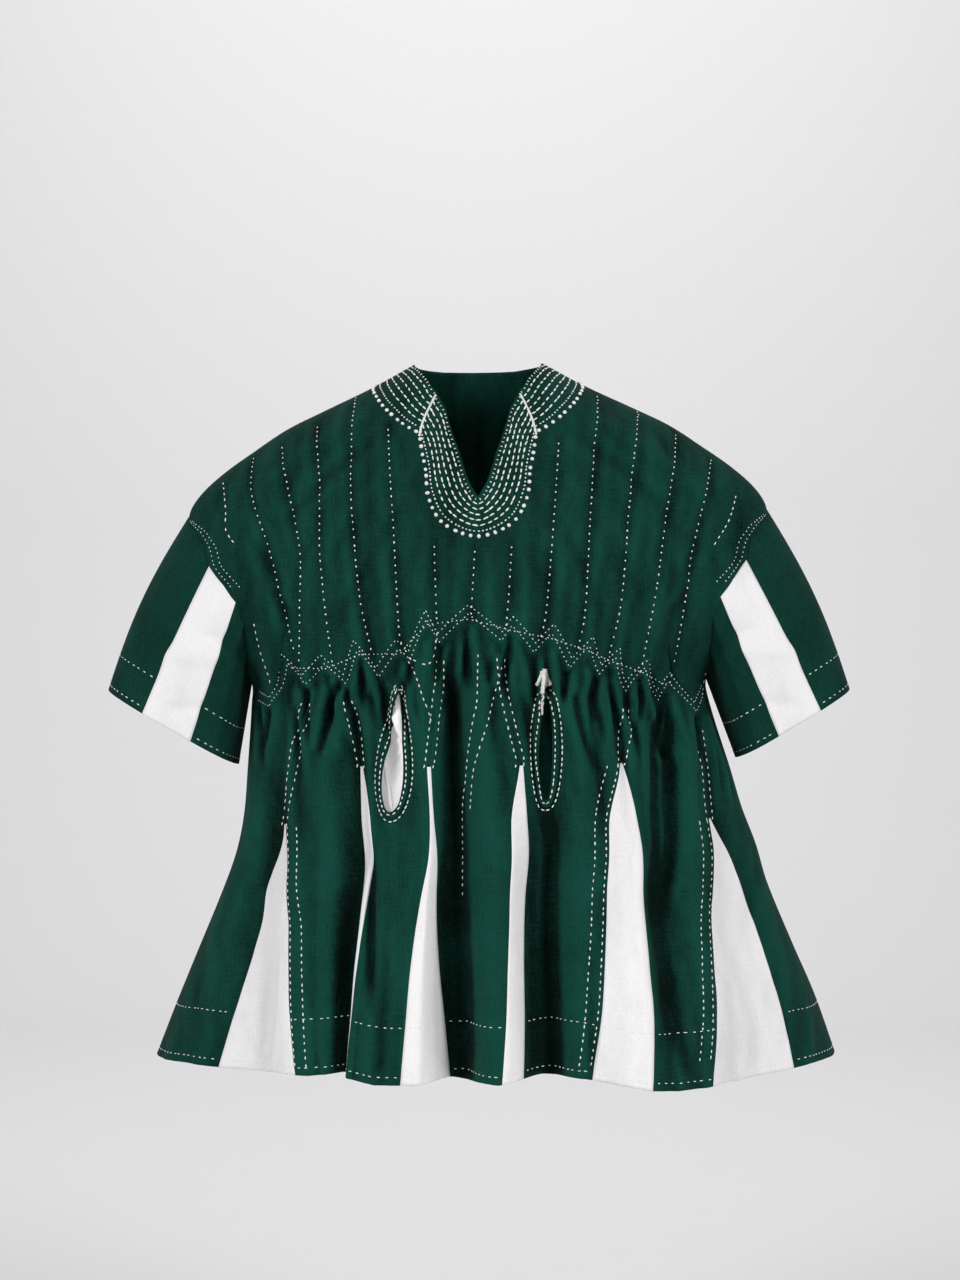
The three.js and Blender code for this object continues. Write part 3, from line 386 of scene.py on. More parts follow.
# Gathers below the zigzag seam, mm: ridges and troughs that start above each of its high and low points and
# end `foot` to the side. A swing from -1 to 1, new at each point, changes the foot, the depth and the length.
GATHER_COLUMNS = "start foot foot_swing length_share out out_swing bow rise"
GATHERS = {
    "high": table(
        GATHER_COLUMNS,
        (6, -22, 8.8, 1.0, 6.75, -1.8, -3, 0.2),
        (6, 22, -8.8, 1.0, 6.75, 1.8, 3, 0.2),
        (3, 0, 6, 0.8, -9.9, 0, 2, 0.15),
    ),
    "low": table(GATHER_COLUMNS, (8, 0, 14, 0.6, -7.2, 0, 2, 0.15)),
}
GATHER_LENGTH, GATHER_LENGTH_SWING, GATHER_WIDTH, GATHER_FALL = 100, 30, 4.4, 0.6
GATHER_SWING_STEP = 2.4  # the swing is a sine, and this is its step from one point to the next, radians

# Soft waves that keep the cloth from lying dead flat: mm for one wave across and up, phase and height.
RIPPLES = table(
    "across up phase out",
    (83, 210, 0.3, 0.7), (47, 131, 1.9, 0.5), (29, 64, 4.1, 0.28), (17, 38, 2.6, 0.14),
)
SIDE_FADE = 0.12  # the fine form fades out at the side where the square of the bearing's cosine is below this
# Creases on a sleeve: part of the way round and along at both ends, width in mm, and how far they stand out.
SLEEVE_CREASES = table(
    "round_1 along_1 round_2 along_2 width out",
    (0.46, 0.06, 0.2, 0.42, 8, -3.0),
    (0.42, 0.2, 0.12, 0.72, 9, 2.4),
    (0.44, 0.5, 0.2, 0.97, 8, -2.2),
    (0.05, 0.25, 0.3, 0.95, 10, 2.0),
    (0.54, 0.06, 0.8, 0.42, 8, -3.0),
    (0.58, 0.2, 0.88, 0.72, 9, 2.4),
    (0.56, 0.5, 0.8, 0.97, 8, -2.2),
    (0.95, 0.25, 0.7, 0.95, 10, 2.0),
)
SLEEVE_CREASE_ENDS = (0, 0.3, 0.3)  # no bow, and the shares of their length over which they rise and fall
SLEEVE_GIRTH, SLEEVE_LENGTH = 420, 200

# Neck embroidery: the innermost and the outermost curve of each zone, with the rows between them.
COLLAR = {
    FRONT: (
        table("bearing height", (-90, 0), (-60, -5), (-45, -10), (-30, -20), (-18.4, -35)),
        table("bearing height", (-90, -21), (-72, -26), (-50, -37), (-32, -54), (-15.7, -78)),
    ),
    BACK: (
        table("bearing height", (-90, 0), (-60, -2), (-30, -4), (0, -4), (30, -4), (60, -2), (90, 0)),
        table(
            "bearing height",
            (-90, -21), (-62, -27), (-30, -37), (0, -42), (30, -37), (62, -27), (90, -21),
        ),
    ),
}
SLIT_ZONE = (
    table("bearing height", (-18.0, -37), (-11.2, -53), (-7.8, -73), (-4.6, -99), (-2.2, -129), (0, -145)),
    table("bearing height", (-15.5, -80), (-13.2, -99), (-11.2, -118), (-9.7, -145), (-6.6, -171), (0, -184)),
)
# Rows of a zone: the share of the way from its inner to its outer curve, and the thread.
NECK_ROWS = (
    (0.04, "rim"), (0.14, "running"), (0.28, "running"), (0.42, "running"), (0.56, "running"),
    (0.7, "running"), (0.85, "close_dot"), (0.98, "knot"),
)
NECK_BAR = table("bearing height", (18.1, -37), (15.6, -80))  # the bar between both zones

# Lines of stitches on the skirt and by the armholes: x and height, mm.
OTHER_LINES = {
    FRONT: (
        ((0, -300), (-1, -347), (-5, -367), (-10, -399), (-13, -427), (-17, -460), (-17, -540)),
        ((24, -312), (15, -347), (9, -371), (1, -396), (-5, -420), (-8, -457)),
        ((-71, -306), (-62, -322), (-50, -354), (-46, -371)),
        ((-228, -268), (-222, -297), (-213, -322), (-211, -332)),
        ((235, -319), (230, -346)),
        ((-263, -124), (-258, -152), (-258, -172), (-255, -180), (-248, -189)),
        ((265, -137), (260, -153), (254, -168), (243, -185), (239, -192)),
        ((-71, -304), (-48, -310), (-40, -277)),
    ),
    BACK: (
        ((-262, -124), (-258, -152), (-257, -172), (-248, -192)),
        ((264, -124), (260, -152), (258, -172), (248, -192)),
    ),
}
# Rows beside the armhole seam: their distances from it, the heights that they run between, and the body's
# depth there, which turns a distance into a bearing.
ARMHOLE_ROWS, ARMHOLE_ROW_SPAN, ARMHOLE_ROW_RADIUS = (5, 11), (-160, -232), 120
# Gore edges with a double row beside them: number of the gore, its edge (0 left, 1 right).
EDGE_ROWS = {FRONT: ((0, 1), (4, 0), (5, 0)), BACK: ((0, 1), (2, 0), (4, 0), (5, 0))}
EDGE_OFFSETS, EDGE_ROW_FOOT = (3, 14), 12
SEAM_OFFSETS, SEAM_ROW_TOP, SEAM_ROW_FOOT = (-4, 4), 8, 4  # rows on both sides of a seam above a gore's apex
HEM_ROWS, HEM_ROW_SPAN = (7, 52), (0.03, 0.97)
CUFF_ROWS, CUFF_ROW_INSET = (6, 38), 0.12
ZIGZAG_ROWS, HIGH_POINT_ROW = (8, 17), 3
SHORT_ROW, EDGE_ROW, LEVEL_ROW, LOOP_ROW = 12, 20, 24, 60  # places that a row of stitches is led through

YOKE_CUT = (0.68, 0.37)  # width and length of a yoke laid flat, m

# Thread sizes, mm: distance from one stitch to the next, length, width and height of a stitch.
THREADS = {
    "dot": (7.6, 2.3, 1.6, 0.9),
    "dash": (7.4, 3.9, 1.35, 0.8),
    "small_dot": (5.0, 1.7, 1.15, 0.65),
    "hem": (7.8, 3.6, 1.05, 0.6),
    "running": (7.4, 6.0, 1.75, 1.1),
    "close_dot": (4.2, 2.3, 1.7, 1.0),
    "pocket": (6.0, 4.3, 1.4, 0.9),
    "knot": (8.4, 4.7, 4.4, 2.8),
    "bar": (1.1, 1.5, 2.7, 2.0),
    "rim": (5.0, 1.1, 2.4, 0.7),
    "satin": (1.2, 1.6, 5.0, 3.2),
}
THREAD_LIFT = 0.12  # how far a stitch stands off the cloth, mm
AHEAD = 0.5  # how far to both sides of its middle a stitch takes its direction from the row, mm
# How much of the unevenness goes into a stitch's place, size and direction, and the largest change.
PLACE_SHARE, SIZE_SHARE, TURN_SHARE, LARGEST_CHANGE = 0.5, 0.6, 0.4, 0.3
CURVE_STEPS, LINE_STEPS = 30, 12  # steps between two places when a row or a line is traced
BEAD_TOP, BEAD_SUNK = 0.94, 0.25  # level of a bead's last ring, and the share of it that is sunk in the cloth
BODY_STEPS, SLEEVE_STEPS = (0.3, 1.0), (0.05, 0.01)  # steps in both directions that find a surface's normal

# Cottons: the setting that holds the colour, the sheen, the depth of the bumps, then the palest and the
# darkest shade, against the colour, that uneven yarns, faded ridges with painted highlight and painted shade
# in the valleys reach.
COTTONS = {
    "green_cotton": ("green", 0.02, 0.5 * MM, 1.5, 0.15),
    "white_cotton": ("white", 0.0, 0.4 * MM, 1.05, 0.835),
    "lining_cotton": ("white", 0.0, 0.3 * MM, 1.05, 1.0),
}
# Noise on cotton: grains to the metre across and down the cloth, and detail.
NOISES = {
    "patches": (14, 14, 3.0),
    "warp": (900, 60, 1.0),
    "weft": (60, 800, 1.0),
    "grain": (420, 420, 2.0),
    "wrinkles": (42, 13, 2.0),
}
TONE_SHARES = {"patches": 0.8, "warp": 0.6, "weft": 0.5, "grain": 0.6}
BUMP_SHARES = {"warp": 0.3, "weft": 0.3, "grain": 0.35, "wrinkles": 6.0}
YARN_ACROSS, YARN_DOWN, YARN_BUMP = 1.7 * MM, 1.9 * MM, 0.5
FADE_AND_SHADE_TONE = 0.4  # how much paler a ridge is, partly from wear and partly painted highlight, and how much darker a valley is, as painted shade
LINING_PAINTED_LIGHT = 0.22  # painted light: the pocket lining glows, so that the bag reads white in the slit's shade
DULL_SPECULAR, COTTON_ROUGHNESS, THREAD_ROUGHNESS, SHEEN_ROUGHNESS = 0.06, 0.85, 0.8, 0.45
COTTON_BUMP, THREAD_BUMP, TWIST_SCALE, TWIST_DEPTH = 0.55, 0.5, 900.0, 0.3 * MM
# How far to both sides the cloth is compared, and what difference in height is a full ridge or valley, mm,
# for the paler ridges and the painted shade in valleys.
FADE_AND_SHADE_REACHES = ((8, 3.0), (26, 20))
LEAST_COSINE = 0.4  # limits the step in bearing towards the side seams

# Sizes that a mesh is laid out with, mm: the body's reach from its middle line at the yoke and at the hem,
# and the width of a sleeve's column. A green panel's columns are closer together, because it is gathered.
YOKE_REACH, HEM_REACH, SLEEVE_COLUMN, GATHERED_SHARE = 240, 340, 26, 0.62
LEAST_COLUMNS = 8  # fewest columns of a gore's mesh
SLEEVE_MIDDLE = 280  # from the centre line to the middle of a sleeve, mm

# Stage, in metres: the backdrop's near edge, wall, bend, top above the floor and half width, the camera's x,
# and each light's place, the point that it faces, its size and the setting that holds its power.
PAPER_NEAR, PAPER_WALL, PAPER_BEND, PAPER_TOP, PAPER_HALF_WIDTH = -6.0, 4.6, 1.2, 6.0, 8.0
CAMERA_X, SENSOR_WIDTH, CAMERA_REACH = 0.00208, 36.0, 50.0
SMOCK_MIDDLE = (0.0, 0.0, -0.36)
LIGHTS = {
    "key_light": ((2.3, -2.1, 0.9), SMOCK_MIDDLE, 1.2, "key"),
    "fill_left": ((-2.3, -2.1, 0.9), SMOCK_MIDDLE, 1.2, "fill"),
    "backdrop_light": ((0.0, 1.7, 2.8), (0.0, 4.6, -0.5), 2.4, "paper"),
}
ROOM_COLOUR, PAPER_ROUGHNESS = (0.96, 0.97, 1.0, 1.0), 0.95


class SmockSettings(bpy.types.PropertyGroup):
    """Sizes and colours of the cloth and its stitches."""

    wall: FloatProperty(
        name="Cloth thickness", description="Thickness of the cloth with its turnings",
        default=1.6 * MM, subtype="DISTANCE", unit="LENGTH",
    )
    front_cell: FloatProperty(
        name="Front mesh size", description="Longest side of a face on the front",
        default=3.3 * MM, subtype="DISTANCE", unit="LENGTH",
    )
    back_cell: FloatProperty(
        name="Back mesh size", description="Longest side of a face on the back",
        default=4.4 * MM, subtype="DISTANCE", unit="LENGTH",
    )
    crease: FloatProperty(
        name="Creases", description="Strength of the creases, gathers and soft waves",
        default=1.0, min=0.0, max=2.0, subtype="FACTOR",
    )
    unevenness: FloatProperty(
        name="Unevenness", description="How much hand stitches differ from each other",
        default=0.16, min=0.0, max=0.5, subtype="FACTOR",
    )
    green: FloatVectorProperty(
        name="Green cotton", description="Colour of the green cloth",
        default=(0.0035, 0.04, 0.028), min=0.0, max=1.0, subtype="COLOR",
    )
    white: FloatVectorProperty(
        name="White cotton", description="Colour of the white cloth",
        default=(0.84, 0.825, 0.82), min=0.0, max=1.0, subtype="COLOR",
    )
    thread: FloatVectorProperty(
        name="Thread", description="Colour of the stitches",
        default=(0.84, 0.83, 0.8), min=0.0, max=1.0, subtype="COLOR",
    )


class StageSettings(bpy.types.PropertyGroup):
    """Sizes and places of the camera and the backdrop, and how strong the lights are."""

    camera_distance: FloatProperty(
        name="Camera distance", description="From the camera to the garment's middle plane",
        default=3.0, subtype="DISTANCE", unit="LENGTH",
    )
    camera_height: FloatProperty(
        name="Camera height", description="Height of the camera in the garment's own axes",
        default=-0.287, subtype="DISTANCE", unit="LENGTH",
    )
    focal: FloatProperty(
        name="Focal length", description="Focal length on a 36 mm sensor", default=81.13, unit="CAMERA",
    )
    key: FloatProperty(
        name="Key light", description="Power of the front light on the right", default=58.0, unit="POWER",
    )
    fill: FloatProperty(
        name="Fill light", description="Power of the front light on the left", default=60.0, unit="POWER",
    )
    paper: FloatProperty(
        name="Backdrop light", description="Power of the light on the backdrop", default=78.0, unit="POWER",
    )
    ambient: FloatProperty(
        name="Ambient light", description="Strength of the light from all round", default=0.26, min=0.0,
    )
    floor_height: FloatProperty(
        name="Floor height", description="Height of the floor in the garment's own axes",
        default=-1.15, subtype="DISTANCE", unit="LENGTH",
    )
    columns: IntProperty(
        name="Backdrop steps", description="Steps of the backdrop's curve", default=48, min=8,
    )
    paper_colour: FloatVectorProperty(
        name="Backdrop", description="Colour of the backdrop and the floor",
        default=(0.83, 0.825, 0.83), min=0.0, max=1.0, subtype="COLOR",
    )


def smooth(part):
    """0 below 0, 1 above 1, with an even S-shaped step between."""
    part = np.clip(part, 0, 1)
    return part * part * (3 - 2 * part)


def curve(knots, values, at):
    """Cubic pieces through points; the slope at each is that of the line between its two neighbours."""
    knots, values, at = (np.asarray(x, float) for x in (knots, values, at))
    if knots[0] > knots[-1]:
        knots, values = knots[::-1], values[::-1]
    numbers = np.arange(len(knots))
    low, high = np.maximum(numbers - 1, 0), np.minimum(numbers + 1, len(knots) - 1)
    slope = (values[high] - values[low]) / (knots[high] - knots[low])
    i = np.clip(np.searchsorted(knots, at) - 1, 0, len(knots) - 2)
    span = knots[i + 1] - knots[i]
    t = np.clip((at - knots[i]) / span, 0, 1)
    start, end = (2 * t**3 - 3 * t**2 + 1) * values[i], (3 * t**2 - 2 * t**3) * values[i + 1]
    return start + end + (t**3 - 2 * t**2 + t) * span * slope[i] + (t**3 - t**2) * span * slope[i + 1]


def straight(rows, by, value, column):
    """Straight interpolation in a table, in the column `by`, which may rise or fall."""
    order = np.argsort(rows[by])
    return np.interp(value, rows[by][order], rows[column][order])


def ring(name, height):
    """A size of the body's level ring at a height."""
    return curve(RINGS["height"], RINGS[name], height)


def fold_depth(side, bearing, height):
    """How far the skirt's folds stand out: an S-shaped step in bearing from each crest to the next valley."""
    rows = FOLDS[side]
    places, depths = (
        [curve(FOLD_LEVELS, values, height) for values in zip(*(rows[f"{name}_{k}"] for k in (1, 2, 3, 4)))]
        for name in ("at", "out")
    )
    out = depths[0]
    for before, after, low, high in zip(places, places[1:], depths, depths[1:]):
        part = smooth((bearing - before) / (after - before))
        out = np.where(bearing > before, low + (high - low) * part, out)
    start = FOLD_START_CENTRE + (FOLD_START_SIDE - FOLD_START_CENTRE) * np.sin(np.radians(bearing)) ** 2
    return out * smooth((start - height) / FOLD_GROWTH)


def laid_flat(side, bearing, height):
    """Distance across the cloth from the centre line: the ellipse's width, and part of its depth."""
    angle = np.radians(bearing)
    depth = DEPTH_IN_WIDTH * ring(SIDES[side], height)
    return ring("half_width", height) * np.sin(angle) + depth * (1 - np.cos(angle)) * np.sign(angle)


def from_front(x, height):
    """The bearing and level of a point seen from straight in front, from its x and its height."""
    level = height - LEAN * x
    sine = (x - ring("centre", level)) / ring("half_width", level)
    return np.degrees(np.arcsin(np.clip(sine, -1, 1))), level


def degrees_for(distance, bearing, height):
    """The step in bearing that a distance across the cloth takes up, seen from straight in front."""
    cosine = np.cos(np.radians(bearing)).clip(LEAST_COSINE)
    return np.degrees(distance / (ring("half_width", height) * cosine))


def ridge(across, height, start, end, width, out, bow, rise, fall):
    """A ridge along a line bowed sideways: a bell curve across it, an S-shaped rise and fall along it."""
    run = np.array(end, float) - np.array(start, float)
    length = np.hypot(*run)
    over, up = across - start[0], height - start[1]
    along = (over * run[0] + up * run[1]) / length**2
    off = (over * run[1] - up * run[0]) / length - bow * 4 * along * (1 - along)
    return out * np.exp(-((off / width) ** 2)) * smooth(along / rise) * smooth((1 - along) / fall)


def distance_to_line(across, height, points):
    """Distance from every place to the nearest point of a line of straight pieces."""
    nearest = np.full(np.shape(across), np.inf)
    for start, end in zip(points, points[1:]):
        run = np.array(end, float) - np.array(start, float)
        over, up = across - start[0], height - start[1]
        along = np.clip((over * run[0] + up * run[1]) / (run @ run), 0, 1)
        nearest = np.minimum(nearest, np.hypot(over - along * run[0], up - along * run[1]))
    return nearest


def flat_line(side, points):
    """A line of (x, height) points on the body as (across, height) points on the cloth laid flat."""
    x, height = np.array(points, float).T
    bearing, level = from_front(x, height)
    return list(zip(laid_flat(side, bearing, level), level))


FLAT_LINES = {side: [flat_line(side, line) for line in YOKE_LINES[side]] for side in (FRONT, BACK)}


def gathers(side, across, height):
    """Ridges and troughs that run down from each high and low point of the zigzag seam, all different."""
    bearings, levels = ZIGZAG[side]["bearing"], ZIGZAG[side]["height"]
    out = np.zeros(np.shape(across))
    for k in range(1, len(levels) - 1):
        at, level = laid_flat(side, bearings[k], levels[k]), levels[k]
        rows = GATHERS["high" if level > levels[k - 1] else "low"]
        swing = np.sin(GATHER_SWING_STEP * k)
        length = GATHER_LENGTH + GATHER_LENGTH_SWING * swing
        for start, foot, foot_swing, share, size, size_swing, bow, rise in zip(*rows.values()):
            end = (at + foot + foot_swing * swing, level - length * share)
            sizes = (GATHER_WIDTH, size + size_swing * swing, bow, rise, GATHER_FALL)
            out = out + ridge(across, height, (at, level + start), end, *sizes)
    return out


def relief(side, bearing, height):
    """Finer form than the folds: gathers, stitched lines as troughs, creases and soft waves."""
    across = laid_flat(side, bearing, height)
    out = gathers(side, across, height)
    for line in FLAT_LINES[side]:
        out = out - LINE_TROUGH * np.exp(-((distance_to_line(across, height, line) / LINE_WIDTH) ** 2))
    for x1, z1, x2, z2, *sizes in zip(*CREASES[side].values()):
        out = out + ridge(across, height, (x1, z1), (x2, z2), *sizes)
    for wave, up, phase, size in zip(*RIPPLES.values()):
        sway = np.sin(2 * np.pi * height / up + phase * side)
        out = out + size * np.sin(2 * np.pi * across / wave + phase + sway)
    fade = smooth(np.cos(np.radians(bearing)) ** 2 / SIDE_FADE)
    return bpy.context.scene.smock.crease * out * fade


def body(side, bearing, height):
    """The outer face of the body: level ellipses, moved out along their normal by the folds and relief."""
    bearing, height = np.broadcast_arrays(np.asarray(bearing, float), np.asarray(height, float))
    angle = np.radians(bearing)
    half_width, depth = ring("half_width", height), ring(SIDES[side], height)
    normal = np.stack([np.sin(angle) / half_width, side * np.cos(angle) / depth], -1)
    normal = normal / np.linalg.norm(normal, axis=-1, keepdims=True)
    out = fold_depth(side, bearing, height) + relief(side, bearing, height)
    x = ring("centre", height) + half_width * np.sin(angle) + out * normal[..., 0]
    y = side * depth * np.cos(angle) + out * normal[..., 1]
    return np.stack([x, y, height + LEAN * x], -1)


def sleeve(arm, column, along):
    """The outer face of a sleeve: straight lines from armhole seam to cuff ellipse, and its folds."""
    column, along = np.broadcast_arrays(np.asarray(column, float), np.asarray(along, float))
    last = len(SLEEVE_COLUMNS["armhole"]) - 1
    wrapped = np.mod(column, 2 * last)
    in_front = wrapped <= last
    place = np.where(in_front, wrapped, 2 * last - wrapped)
    armhole, share = (np.interp(place, np.arange(last + 1), values) for values in SLEEVE_COLUMNS.values())
    turn = np.where(in_front, share, 1 - share)
    bearing = arm * straight(ARMHOLE, "height", armhole, "bearing")
    seam = np.where(in_front[..., None], body(FRONT, bearing, armhole), body(BACK, bearing, armhole))
    angle = 2 * np.pi * turn
    (outer_x, outer_z), (inner_x, inner_z) = CUFFS[arm]
    inward = (1 - np.cos(angle)) / 2
    cuff = np.stack([
        outer_x + (inner_x - outer_x) * inward,
        CUFF_CENTRE_Y - CUFF_HALF_DEPTH * np.sin(angle),
        outer_z + (inner_z - outer_z) * inward,
    ], -1)
    out = SLEEVE_SWELL * np.sin(np.pi * along) * np.maximum(0, np.cos(angle))
    for at, width, size in zip(*SLEEVE_FOLDS.values()):
        out = out + size * np.exp(-(((turn - at) / width) ** 2)) * smooth(along)
    strength = bpy.context.scene.smock.crease
    flat = (SLEEVE_GIRTH, SLEEVE_LENGTH)
    for round_1, along_1, round_2, along_2, width, size in zip(*SLEEVE_CREASES.values()):
        start, end = np.multiply((round_1, along_1), flat), np.multiply((round_2, along_2), flat)
        sizes = (width, size * strength, *SLEEVE_CREASE_ENDS)
        out = out + ridge(turn * SLEEVE_GIRTH, along * SLEEVE_LENGTH, start, end, *sizes)
    outward = np.stack([arm * np.cos(angle), -np.sin(angle), SLEEVE_LIFT * np.cos(angle)], -1)
    outward = outward / np.linalg.norm(outward, axis=-1, keepdims=True)
    return seam + (cuff - seam) * along[..., None] + out[..., None] * outward


def gore_sizes(side, number):
    """The sizes of one gore by their names."""
    return {name: column[number] for name, column in GORES[side].items()}


def gore_edge(side, number, edge, height):
    """The bearing of a gore's left (0) or right (1) edge; above its apex both lie on the panels' seam."""
    gore = gore_sizes(side, number)
    top = straight(ZIGZAG[side], "bearing", gore["seam"], "height")
    share = np.clip((height - top) / (gore["apex_height"] - top), 0, 1)
    seam = gore["seam"] + (gore["apex"] - gore["seam"]) * share
    hand = ("left", "right")[edge]
    apex = gore["apex"] + (APEX_HALF_BEARING if edge else -APEX_HALF_BEARING)
    knots = (gore["apex_height"], gore["apex_height"] - GORE_UPPER_DROP, GORE_MIDDLE, HEM)
    below = curve(knots, (apex, gore[f"upper_{hand}"], gore[f"middle_{hand}"], gore[f"hem_{hand}"]), height)
    return np.where(height > gore["apex_height"], seam, below)


def gore_edges(side, number):
    """Two functions of the height: the bearings of a gore's left and right edge."""
    return [partial(gore_edge, side, number, edge) for edge in (0, 1)]


def panel_edges(side, number):
    """Two functions of the height: the bearings of a green panel's left and right edge."""
    left, right = partial(gore_edge, side, number - 1, 1), partial(gore_edge, side, number, 0)
    if number == 0:
        left = partial(np.full_like, fill_value=-90.0)
    if number == len(GORES[side]["seam"]):
        right = partial(np.full_like, fill_value=90.0)
    return left, right


def hem_height(side, bearing):
    """The height of the hem line at a bearing."""
    return np.interp(bearing, FOLDS[side]["at_4"], FOLDS[side]["hem"])


def spread(start, end, between, widest):
    """Places from start to end that include each given one, with no step wider than `widest`."""
    stops = np.unique(np.concatenate([[start, end], [p for p in between if start < p < end]]))
    steps = np.ceil(np.diff(stops) / widest).astype(int)
    parts = [np.linspace(a, b, n, endpoint=False) for a, b, n in zip(stops, stops[1:], steps)]
    return np.concatenate(parts + [[end]])


def trimmed(net):
    """A net of points whose border has moved inwards by half the seam gap, square to the edge."""
    moved = net.copy()
    for axis in (0, 1):
        lines = np.moveaxis(net, axis, 0)
        result = np.moveaxis(moved, axis, 0)
        for border, inner in ((0, 1), (-1, -2)):
            inward = lines[inner] - lines[border]
            inward = inward / np.linalg.norm(inward, axis=-1, keepdims=True)
            edge = np.gradient(lines[border], axis=0)
            edge = edge / np.linalg.norm(edge, axis=-1, keepdims=True)
            sine = np.linalg.norm(np.cross(inward, edge), axis=-1, keepdims=True)
            result[border] += inward * (SEAM_GAP / 2) / np.maximum(sine, LEAST_SINE)
    return moved


def fade_and_shade_share(side, bearing, height):
    """How far a place stands out from the cloth on both sides of it: -1 in a valley to 1 on a ridge. It
    paints shade into the valleys and makes the ridges paler, partly as wear and partly as painted highlight.
    """
    out = lambda at: fold_depth(side, at, height) + relief(side, at, height)
    step, middle = degrees_for(1, bearing, height), out(bearing)
    beside = lambda reach: (out(bearing - reach * step) + out(bearing + reach * step)) / 2
    return np.clip(sum((middle - beside(reach)) / full for reach, full in FADE_AND_SHADE_REACHES), -1, 1)


def mesh_object(name, points, faces, material, uv=None, ridges=None):
    """An object at the origin from arrays of points in mm and of faces with equally many corners each."""
    mesh = bpy.data.meshes.new(name)
    count, corners = faces.shape
    mesh.vertices.add(len(points))
    mesh.vertices.foreach_set("co", (np.asarray(points) * MM).astype(np.float32).ravel())
    mesh.loops.add(count * corners)
    mesh.loops.foreach_set("vertex_index", faces.astype(np.int32).ravel())
    mesh.polygons.add(count)
    mesh.polygons.foreach_set("loop_start", (np.arange(count) * corners).astype(np.int32))
    mesh.polygons.foreach_set("use_smooth", np.ones(count, bool))
    if uv is not None:
        layer = mesh.uv_layers.new(name="cloth")
        layer.data.foreach_set("uv", uv[faces.ravel()].astype(np.float32).ravel())
    # Per point, how far the cloth stands out: it drives painted shade in valleys and paler ridges, partly
    # wear and partly painted highlight.
    if ridges is not None:
        mesh.attributes.new("ridges", "FLOAT", "POINT").data.foreach_set("value", ridges.astype(np.float32))
    mesh.update(calc_edges=True)
    mesh.validate()
    mesh.materials.append(material)
    piece = bpy.data.objects.new(name, mesh)
    bpy.context.scene.collection.objects.link(piece)
    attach(piece, "root")
    return piece


def net_faces(rows, columns, keep=None):
    """The quads of a net of points, less those that `keep` leaves out."""
    index = np.arange(rows * columns).reshape(rows, columns)
    quads = np.stack([index[:-1, :-1], index[:-1, 1:], index[1:, 1:], index[1:, :-1]], -1)
    return quads[keep] if keep is not None else quads.reshape(-1, 4)


def cut_size(net, keep):
    """Width, length and area in metres of the cloth that a net of points shows, laid flat."""
    widths = np.linalg.norm(np.diff(net, axis=1), axis=-1).sum(1)
    lengths = np.linalg.norm(np.diff(net, axis=0), axis=-1).sum(0)
    falling, rising = net[1:, 1:] - net[:-1, :-1], net[1:, :-1] - net[:-1, 1:]
    areas = np.linalg.norm(np.cross(falling, rising), axis=-1) / 2
    area = float((areas if keep is None else areas * keep).sum()) * MM**2
    length = float(lengths.max()) * MM
    return max(float(widths[len(widths) // 2:].max()) * MM, area / length), length, area


def cloth_piece(
    name, net, uv, slot, inside=(0, 0), keep=None, flat=None, held="hung", cloth=None, ridges=None,
):
    """A cloth shell over a net of points, which faces away from the upright line at `inside`."""
    rows, columns = net.shape[:2]
    points = trimmed(net).reshape(-1, 3)
    faces = net_faces(rows, columns, keep)
    a, b, c, d = (points[faces[:, k]] for k in range(4))
    outward = ((a + c) / 2)[:, :2] - inside
    if np.sum(np.cross(c - a, d - b)[:, :2] * outward) < 0:
        faces = faces[:, ::-1]
    used = np.unique(faces)
    renumber = np.zeros(len(points), int)
    renumber[used] = np.arange(len(used))
    flat_uv = (uv * MM).reshape(-1, 2)[used]
    ridges = (np.zeros(net.shape[:2]) if ridges is None else ridges).ravel()[used]
    material = bpy.data.materials[(cloth or slot) + "_cotton"]
    piece = mesh_object(name, points[used], renumber[faces], material, flat_uv, ridges)
    wall = piece.modifiers.new("wall", "SOLIDIFY")
    wall.thickness = bpy.context.scene.smock.wall
    wall.offset = -1
    width, length, area = cut_size(net, keep)
    return piece


def body_cloth(node, side, bearing, height, slot, **options):
    """A cloth piece on the body over a net of bearings and heights, with its flat map and how far each point
    stands out, which the cotton turns into painted shade in valleys and paler ridges.
    """
    uv = np.stack([laid_flat(side, bearing, height), height], -1)
    ridges = fade_and_shade_share(side, bearing, height)
    return cloth_piece(node + "_cloth", body(side, bearing, height), uv, slot, ridges=ridges, **options)


def cell_size(side):
    """Longest side of a face, in mm."""
    settings = bpy.context.scene.smock
    return (settings.front_cell if side == FRONT else settings.back_cell) / MM


def add_yoke(side):
    """A yoke: columns fan out from neck to zigzag seam, rows end on the shoulder ridge and the armhole."""
    cell = cell_size(side)
    seam_end = ZIGZAG[side]["height"][0]
    neck = NECK_EDGE[side]["bearing"]
    stops = np.concatenate([ZIGZAG[side]["bearing"], -neck, neck])
    columns = spread(-90, 90, stops, np.degrees(cell / YOKE_REACH))
    rows = -spread(0, -seam_end, -ARMHOLE["height"], cell)
    column, edge_row = np.meshgrid(columns, rows)
    neck_height = straight(NECK_EDGE[side], "bearing", np.abs(column), "height")
    seam_height = straight(ZIGZAG[side], "bearing", column, "height")
    height = neck_height + (seam_height - neck_height) * edge_row / seam_end
    edge = straight(ARMHOLE, "height", edge_row, "bearing")
    bearing = column * (1 + (edge / 90 - 1) * np.abs(column) / 90)
    node = "yoke_" + SIDES[side]
    piece = body_cloth(node, side, bearing, height, "green", flat=YOKE_CUT)
    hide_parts(*(strip for strip in sorted(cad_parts) if strip.startswith(node)))


